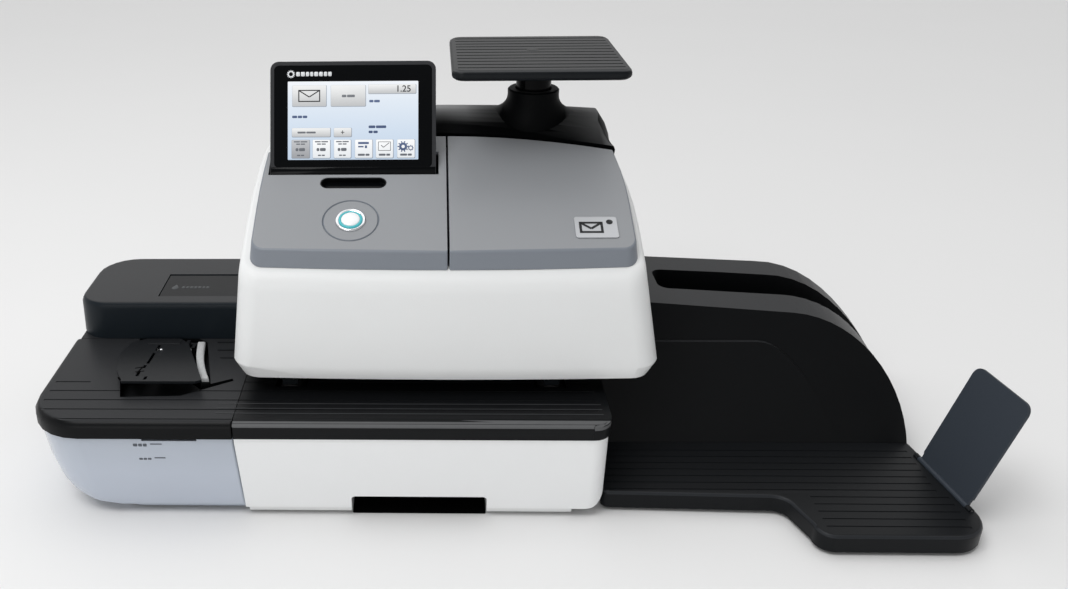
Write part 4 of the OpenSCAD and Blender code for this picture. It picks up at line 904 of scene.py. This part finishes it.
# plus sign, form with a tick, two gear rings, label lines
def makeSigns(s):
    a0, a1, b0, b1 = screenBox(*s["plus"])
    a, b, half = (a0 + a1) / 2, (b0 + b1) / 2, s["plusHalf"]
    marks = [bar(a - half, b, a + half, b, s["plusThick"]), bar(a, b - half, a, b + half, s["plusThick"])]
    a0, a1, b0, b1 = screenBox(*s["form"])
    sides = [(a0, b0, a1, b0), (a0, b1, a1, b1), (a0, b0, a0, b1), (a1, b0, a1, b1)]
    marks += [bar(*ends, s["formThick"]) for ends in sides]
    start, turn = ((a0 + s[k][0], b0 + s[k][1]) for k in ("tickFrom", "tickTurn"))
    end = (a1 - s["tickTo"][0], b1 - s["tickTo"][1])
    marks += [bar(*start, *turn, s["tickThick"]), bar(*turn, *end, s["tickThick"])]
    strokes("screenMarks", "inkDark", marks)
    a0, a1, b0, b1 = screenBox(*s["gears"])
    b = (b0 + b1) / 2
    icons = ringOutlines(a0 + s["wideGear"], b, *s["wideTeeth"])
    icons += ringOutlines(a1 - s["smallGear"][0], b - s["smallGear"][1], *s["smallTeeth"])
    a0, a1, b0, b1 = screenBox(*s["label"])
    head, line, stamp = b1 - s["headDrop"], b0 + s["lineRise"], a1 - s["stampIn"]
    icons.append(bar(a0, head, a1, head, s["headThick"]))
    icons.append(bar(a0, line, a0 + s["lineLong"], line, s["lineThick"]))
    icons.append(bar(stamp, b0 + s["stampRise"][0], stamp, b0 + s["stampRise"][1], s["stampThick"]))
    strokes("screenIcons", "inkBlue", icons)


def makeScreen(s):
    makeKeys(keyShape, screenDepth)
    a0, a1, b0, b1 = screenBox(*s["letter"])
    letter = letterMark(a1 - a0, b1 - b0, s["letterThick"], s["letterFold"])
    strokes("screenLetterMark", "inkDark", moved(letter, (a0 + a1) / 2, (b0 + b1) / 2))
    makeWords()
    makeSigns(s)


makeScreen(screenSigns)

# black foot of the display's face, under the glass
displayFoot = {"box": (0.5, 136.5, -2.2, 4.6), "round": 0.4, "back": 1.0, "front": 0.38, "soft": 0.1}
slab(
    "displayFoot", [roundedBox(*displayFoot["box"], displayFoot["round"], 2)], onDisplay, displayFoot["back"],
    displayFoot["front"], displayFoot["soft"], finishes["black_gloss"], "display", "black_gloss",
)

readout = {"text": "1.25", "size": 7.4, "right": 0.945, "low": 0.137, "bold": 0.10, "thick": 0.02}


# the amount in the readout, as a thin solid
def makeReadout(s):
    curve = bpy.data.curves.new("readout", "FONT")
    curve.body, curve.size, curve.align_x = s["text"], s["size"], "RIGHT"
    curve.extrude, curve.offset = s["thick"], s["bold"]
    holder = bpy.data.objects.new("readoutCurve", curve)
    scene.collection.objects.link(holder)
    mesh = bpy.data.meshes.new_from_object(holder.evaluated_get(bpy.context.evaluated_depsgraph_get()))
    bpy.data.objects.remove(holder)
    a, _, b, _ = screenBox(s["right"], s["right"], s["low"], s["low"])
    for v in mesh.vertices:
        v.co = onDisplay(a + v.co.x, b + v.co.y, (screenDepth["key"] + screenDepth["ink"]) / 2 - v.co.z)
    link("screenReadout", mesh, screenInks["inkDark"], "display", "screen")


makeReadout(readout)
print("screen drawn")

feltPad = {
    "x": -212.6, "y": 128.5, "run": 69, "drift": 18, "bow": 3, "wide": 6.5, "end": 0.925, "count": 26,
    "top": 88.7, "bottom": 85.2, "soft": 0.9, "crease": 80.0, "foot": 76.3, "rim": 0.5, "rimSoft": 0.3,
}


def feltLine(t, side, s):
    x = s["x"] + s["drift"] * t - s["bow"] * math.sin(math.pi * t) + side * s["wide"] / 2
    return x, s["y"] - s["run"] * t


# felt laid in a black holder, its top edges worn round
def makeFelt(s):
    steps = [s["end"] * k / s["count"] for k in range(s["count"] + 1)]
    outline = [feltLine(t, -1, s) for t in steps] + [feltLine(t, 1, s) for t in reversed(steps)]
    pad = slab(
        "feltPad", [outline], machine, s["bottom"], s["top"], s["soft"], finishes["felt"], "machine", "felt",
        s["crease"],
    )
    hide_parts("felt_strip")
    slab(
        "feltHolder", [inset(outline, -s["rim"])], machine, s["foot"], s["bottom"], s["rimSoft"],
        finishes["black_shell"], "machine", "black_shell",
    )


makeFelt(feltPad)

# short ribs beside the felt: depth and left end of each
deckRibs = {
    "rows": [(129.4, -198.6), (115.4, -195.9), (101.8, -191.0)], "right": -164.5, "wide": 1.0,
    "foot": 86.6, "top": 87.55, "soft": 0.25,
}
slab(
    "deckRibs", [bar(x, y, deckRibs["right"], y, deckRibs["wide"]) for y, x in deckRibs["rows"]], machine,
    deckRibs["foot"], deckRibs["top"], deckRibs["soft"], finishes["charcoal"], "machine", "black_shell",
)

# fine raised lines along the letter deck, in a lighter grey: painted highlight along the lines
deckLines = {
    "rows": (14.0, 21.1, 28.2), "ends": (-178.0, 122.0), "wide": 0.55,
    "foot": 86.0, "top": 87.22, "soft": 0.1,
}


def makeDeckLines(s):
    left, right = s["ends"]
    rows = [bar(left, y, right, y, s["wide"]) for y in s["rows"]]
    slab(
        "deckLines", rows, machine, s["foot"], s["top"], s["soft"], markFinish["ribHighlightGrey"], "machine",
        "black_shell",
    )


makeDeckLines(deckLines)

# a bright rivet on the wetting plate
rivet = {"disc": (-243.2, 108.5, 1.5), "foot": 89.0, "top": 92.2, "soft": 0.7}
slab(
    "plateRivet", [disc(*rivet["disc"])], machine, rivet["foot"], rivet["top"], rivet["soft"],
    finishes["chrome"], "wetter", "steel",
)


# a, b and depth in mm on the plane of a CAD face, found by looking at it along a line
def onFace(node, start, way, right):
    mesh = nodes[node].data
    tree = BVHTree.FromPolygons([v.co for v in mesh.vertices], [p.vertices for p in mesh.polygons])
    spot, normal = tree.ray_cast(machine(*start), Vector(way))[:2]
    across = (Vector(right) - normal * normal.dot(Vector(right))).normalized()
    up = normal.cross(across)
    return lambda a, b, depth: spot + (across * a + up * b + normal * depth) / 1000


farAway = {"front": -200, "top": 400, "back": 500}  # where the looks start


def onFront(node, x, z):
    return onFace(node, (x, farAway["front"], z), (0, 1, 0), (1, 0, 0))


def onTop(node, x, y):
    return onFace(node, (x, y, farAway["top"]), (0, 0, -1), (1, 0, 0))


def onBack(node, x, z):
    return onFace(node, (x, farAway["back"], z), (0, -1, 0), (-1, 0, 0))


# machine mm of a point in a node's box, by shares of its sides
def inBox(node, across, along):
    low, high = (Vector(end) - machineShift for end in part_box(node))
    return (low.x + (high.x - low.x) * across) * 1000, (low.y + (high.y - low.y) * along) * 1000


# level marks on the tank's front
tankMarks = {
    "at": (-233.0, 62.0), "depth": 1.0, "proud": 0.12, "soft": 0.05, "thick": 0.9,
    "words": [(-8.6, 4.6, 2.6, (3.4, 3.0, 3.0), 0.7), (-5.2, -8.2, 1.8, (2.8, 2.6, 2.8), 0.7)],
    "lines": [(5.0, 5.6, 14.0, 5.6), (7.0, -7.2, 15.5, -7.2)],
}


def makeTankMarks(s):
    outlines = [outline for word in s["words"] for outline in blankWord(*word)]
    outlines += [bar(*ends, s["thick"]) for ends in s["lines"]]
    slab(
        "tankMarks", outlines, onFront("water_tank", *s["at"]), -s["depth"], s["proud"], s["soft"],
        markFinish["markSlate"], "tank", "charcoal",
    )


makeTankMarks(tankMarks)

# painted shade: further small slots in the wetting plate, as flat near-black marks
plateSlotShades = {
    "at": (-250.0, 66.0), "wide": 1.5, "depth": 0.6, "proud": 0.05, "soft": 0.02,
    "bars": [(-5, 4, 2, 7), (-3, -3, 4, -1.5), (0.5, 5, -1, -6), (-14, -13, -11, -18)],
}
slab(
    "plateSlotShades", [bar(*ends, plateSlotShades["wide"]) for ends in plateSlotShades["bars"]],
    onTop("flap_plate", *plateSlotShades["at"]), -plateSlotShades["depth"], plateSlotShades["proud"], plateSlotShades["soft"],
    ownFinish["hold_liner"], "wetter", "black_shell",
)

# small plate: a plain letter mark and a dot
badgeMark = {
    "letter": (16.5, 10.0, 1.9), "letterAt": (-4.0, -0.6), "dot": (10.6, 5.2, 2.6),
    "depth": 0.3, "proud": 0.14, "soft": 0.05,
}
slab(
    "badgeMark", moved(letterMark(*badgeMark["letter"]), *badgeMark["letterAt"]) + [disc(*badgeMark["dot"])],
    onTop("badge_plate", *inBox("badge_plate", 0.5, 0.5)), -badgeMark["depth"], badgeMark["proud"],
    badgeMark["soft"], markFinish["markDark"], "cartridge_door", "silver",
)

# filler lid: a water drop and blank blocks
lidMark = {
    "at": (0.14, 0.42), "half": (3.0, 3.4), "turns": (-210, 31, 20), "down": 1.2, "tip": 2.1,
    "depth": 0.3, "proud": 0.12, "soft": 0.04,
    "word": (6.0, 0, 4.0, (3.0, 2.6, 3.0, 2.6, 3.0, 2.4, 2.8), 0.9),
}


def makeLidMark(s):
    turns = [math.radians(t) for t in range(*s["turns"])]
    drop = [(math.cos(t), math.sin(t)) for t in turns] + [(0.0, s["tip"])]
    wide, tall = s["half"]
    slab(
        "lidMark", [[(wide * a, tall * b - s["down"]) for a, b in drop]] + blankWord(*s["word"]),
        onTop("filler_lid", *inBox("filler_lid", *s["at"])), -s["depth"], s["proud"], s["soft"],
        markFinish["markGrey"], "lid", "charcoal",
    )


makeLidMark(lidMark)

# top left of the display's face: a ring and blank blocks
displayMark = {
    "ring": (17.2, 81.5, 2.7, 1.0, 12),
    "word": (21.6, 81.5, 3.6, (3.1, 3.3, 2.8, 2.5, 3.3, 3.1, 2.8, 2.8), 0.8),
    "back": 0.5, "front": 0.34, "soft": 0.03,
}
slab(
    "displayMark", ringOutlines(*displayMark["ring"]) + blankWord(*displayMark["word"]), onDisplay,
    displayMark["back"], displayMark["front"], displayMark["soft"], markFinish["markWhite"],
    "display", "white_shell",
)

# the lip goes on round the deck's right front corner
deckCorner = {
    "round": 14.0, "front": -1.15, "wall": 3.6, "back": 60.0, "left": 15.0,
    "low": 73.2, "high": 85.6, "soft": 1.3,
}


def makeDeckCorner(s):
    right = inBox("base_deck", 1, 0)[0] + baseReach["base_deck"]
    left, front, wall = right - s["left"], s["front"], s["wall"]
    middle = (right - s["round"], front + s["round"])
    turns = [math.radians(t) for t in range(0, 91, 10)]

    def bend(r):
        return [(middle[0] + r * math.sin(t), middle[1] - r * math.cos(t)) for t in turns]

    outer = [(left, front), *bend(s["round"]), (right, s["back"])]
    inner = [(right - wall, s["back"]), *bend(s["round"] - wall)[::-1], (left, front + wall)]
    # the deck's finish paints a highlight on this corner's front bevel too
    slab(
        "deckCorner", [outer + inner], machine, s["low"], s["high"], s["soft"], ownFinish["base_deck"],
        "machine", "black_shell",
    )


makeDeckCorner(deckCorner)

# painted shade: a near-black dull sheet on the desk in the hand-hold, so the hold is dark right down to the
# desk
holdShadeFloor = {"front": 3.4, "back": 26.0, "round": 1.0, "low": 0.3, "high": 1.0, "soft": 0.1}


def makeHoldShadeFloor(s):
    left, right = (inBox("hold_liner", end, 0)[0] for end in (0, 1))
    slab(
        "holdShadeFloor", [roundedBox(left, right, s["front"], s["back"], s["round"], 2)], machine,
        s["low"], s["high"], s["soft"], ownFinish["hold_liner"], "machine", "black_shell",
    )


makeHoldShadeFloor(holdShadeFloor)

# floor of the slot between the rails of the guard, in the near-black dull finish: painted shade, so the slot
# reads dark
guardShadeFloor = {
    "left": 191.0, "front": 167.0, "back": 208.0, "low": 18.0, "high": 21.0, "soft": 0.1,
    "sill": 24.5, "near": 0.6, "wall": 1.5,
}


def makeGuardShadeFloor(s):
    spots = [machineSpot(v) for v in nodes["tray_guard"].data.vertices]
    ends = {}
    for y in (s["front"], s["back"]):
        ends[y] = max(p.x for p in spots if abs(p.y - y) < s["near"] and p.z < s["sill"]) - s["wall"]
    outline = [
        (s["left"], s["front"]), (ends[s["front"]], s["front"]),
        (ends[s["back"]], s["back"]), (s["left"], s["back"]),
    ]
    slab(
        "guardShadeFloor", [outline], machine, s["low"], s["high"], s["soft"], ownFinish["hold_liner"], "machine",
        "black_shell",
    )


makeGuardShadeFloor(guardShadeFloor)

# back of the housing and the base: air slots drawn as flat dark marks (painted shade), a blank label and
# screws
backSlotShades = {
    "node": "upper_housing", "place": (-40.0, 150.0), "count": 15, "pitch": 6.0, "wide": 2.4, "tall": 30.0,
    "round": 1.1, "depth": 0.9, "proud": 0.04, "soft": 0.02,
}
backLabel = {
    "node": "base_shell", "place": (30.0, 42.0), "wide": 48.0, "tall": 24.0, "round": 2.0,
    "depth": 0.4, "proud": 0.05, "soft": 0.03,
    "lines": 4, "margin": 4, "first": 5, "pitch": 4, "short": 9, "thick": 0.9,
    "lineDepth": 0.1, "lineProud": 0.09, "lineSoft": 0.02,
}
backScrews = {
    "node": "base_shell", "sides": (0.06, 0.93), "levels": (20.0, 60.0), "r": 2.6,
    "depth": 1.0, "proud": 0.05, "soft": 0.04,
    "cross": 1.5, "crossThick": 0.6, "crossDepth": 0.3, "crossProud": 0.08, "crossSoft": 0.02,
}


def makeBackSlotShades(s):
    a, b, middle = s["wide"] / 2, s["tall"] / 2, s["pitch"] * (s["count"] - 1) / 2
    rows = [s["pitch"] * k - middle for k in range(s["count"])]
    # painted shade: each slot is a dark mark barely proud of the back
    slab(
        "backSlotShades", [roundedBox(x - a, x + a, -b, b, s["round"]) for x in rows],
        onBack(s["node"], *s["place"]), -s["depth"], s["proud"], s["soft"],
        finishes["rubber"], "machine", "rubber",
    )


def makeBackLabel(s):
    face = onBack(s["node"], *s["place"])
    a, b = s["wide"] / 2, s["tall"] / 2
    slab(
        "backLabel", [roundedBox(-a, a, -b, b, s["round"])], face, -s["depth"], s["proud"], s["soft"],
        markFinish["markWhite"], "machine", "white_shell",
    )
    lines = []
    for k in range(s["lines"]):
        level = b - s["first"] - s["pitch"] * k
        lines.append(bar(-a + s["margin"], level, a - s["margin"] - s["short"] * (k % 2), level, s["thick"]))
    slab(
        "backLabelLines", lines, face, -s["lineDepth"], s["lineProud"], s["lineSoft"], markFinish["markGrey"],
        "machine", "charcoal",
    )


def makeBackScrews(s):
    half = s["cross"]
    cross = [bar(-half, 0, half, 0, s["crossThick"]), bar(0, -half, 0, half, s["crossThick"])]
    for k in range(4):
        x = inBox(s["node"], s["sides"][k % 2], 0)[0]
        head = onBack(s["node"], x, s["levels"][k // 2])
        slab(
            f"backScrew{k + 1}", [disc(0, 0, s["r"])], head, -s["depth"], s["proud"], s["soft"],
            finishes["steel"], "machine", "steel",
        )
        # painted shade: a flat dark cross on each head where a sunk cross would be
        slab(
            f"backScrewCrossShade{k + 1}", cross, head, -s["crossDepth"], s["crossProud"], s["crossSoft"],
            markFinish["markDark"], "machine", "charcoal",
        )


makeBackSlotShades(backSlotShades)
makeBackLabel(backLabel)
makeBackScrews(backScrews)

# low oval mark in the middle of the weighing plate
plateMark = {"place": (76.5, 221.5), "half": (7.0, 4.0), "foot": 321.2, "top": 322.0, "soft": 0.4}


def makePlateMark(s):
    wide, deep = s["half"]
    oval = [(wide * a, deep * b) for a, b in disc(0, 0, 1)]
    slab(
        "plateMark", moved([oval], *s["place"]), machine, s["foot"], s["top"], s["soft"],
        finishes["charcoal"], "scale", "charcoal",
    )


makePlateMark(plateMark)
print("small pieces added")

scene.view_settings.view_transform = "Standard"
# strengths, and for each the stretch of the direction over which it comes in
worldSettings = {
    "front": 0.24,  # in front, above eye level
    "lowFront": 0.64,  # added near the front horizon
    "lowFrontEnds": (0.26, 0.44),
    "zenith": 0.55,  # added overhead
    "zenithFrom": (0.74, 0.95),
    "backLow": 0.42,
    "backHigh": 0.70,  # added behind, above the horizon
    "backRises": (0.05, 0.42),
    "backFrom": (-0.35, 0.35),
    "rightDim": 0.34,
    "rightFrom": (-0.2, 0.9),
}


# a soft room: bright overhead, behind and along the front horizon, dim behind the viewer's head
def makeWorld(s):
    world = bpy.data.worlds.new("studio")
    scene.world = world
    f = Finish(world)
    way = f.node("ShaderNodeTexCoord", None, None, "Generated")
    x, y, z = (f.part(way, k) for k in range(3))

    def step(value, ends):
        kind = {"interpolation_type": "SMOOTHSTEP"}
        return f.node("ShaderNodeMapRange", kind, {0: value, 1: ends[0], 2: ends[1]})

    front = s["front"] + (1 - step(z, s["lowFrontEnds"])) * s["lowFront"]
    back = s["backLow"] + step(z, s["backRises"]) * s["backHigh"]
    level = front + step(y, s["backFrom"]) * (back - front) + step(z, s["zenithFrom"]) * s["zenith"]
    sockets = f.tree.nodes["Background"].inputs
    f.feed(sockets["Color"], (1.0, 1.0, 1.0))
    f.feed(sockets["Strength"], level * (1 - step(x, s["rightFrom"]) * s["rightDim"]))


makeWorld(worldSettings)

lampSettings = {
    "key": {"place": (-0.9, -0.75, 2.1), "size": 1.2, "power": 21.0},
    "low": {"place": (-0.9, -2.2, 0.55), "size": 0.9, "power": 5.0},
}
lampAim = Vector((0, 0, 0.12))
for name, s in lampSettings.items():
    data = bpy.data.lights.new(name, "AREA")
    data.size, data.energy = s["size"], s["power"]
    lamp = bpy.data.objects.new(name, data)
    scene.collection.objects.link(lamp)
    lamp.location = s["place"]
    lamp.rotation_euler = (lampAim - Vector(s["place"])).to_track_quat("-Z", "Y").to_euler()

floorSettings = {
    "half": 9.0, "colour": (0.80, 0.80, 0.80), "cloudScale": 3.0, "cloud": 0.02, "rough": 0.7, "spec": 0.2,
}


def makeFloor(s):
    h = s["half"]
    mesh = bpy.data.meshes.new("floor")
    mesh.from_pydata([(-h, -h, 0), (h, -h, 0), (h, h, 0), (-h, h, 0)], [], [(0, 1, 2, 3)])
    floor = bpy.data.objects.new("floor", mesh)
    scene.collection.objects.link(floor)
    f = newFinish("floorPaint")
    colour = f.mix(f.noise(s["cloudScale"]), scaled(s["colour"], 1 - s["cloud"]), s["colour"])
    mesh.materials.append(f.shade(colour=colour, rough=s["rough"], spec=s["spec"]))


makeFloor(floorSettings)
print("room lit")
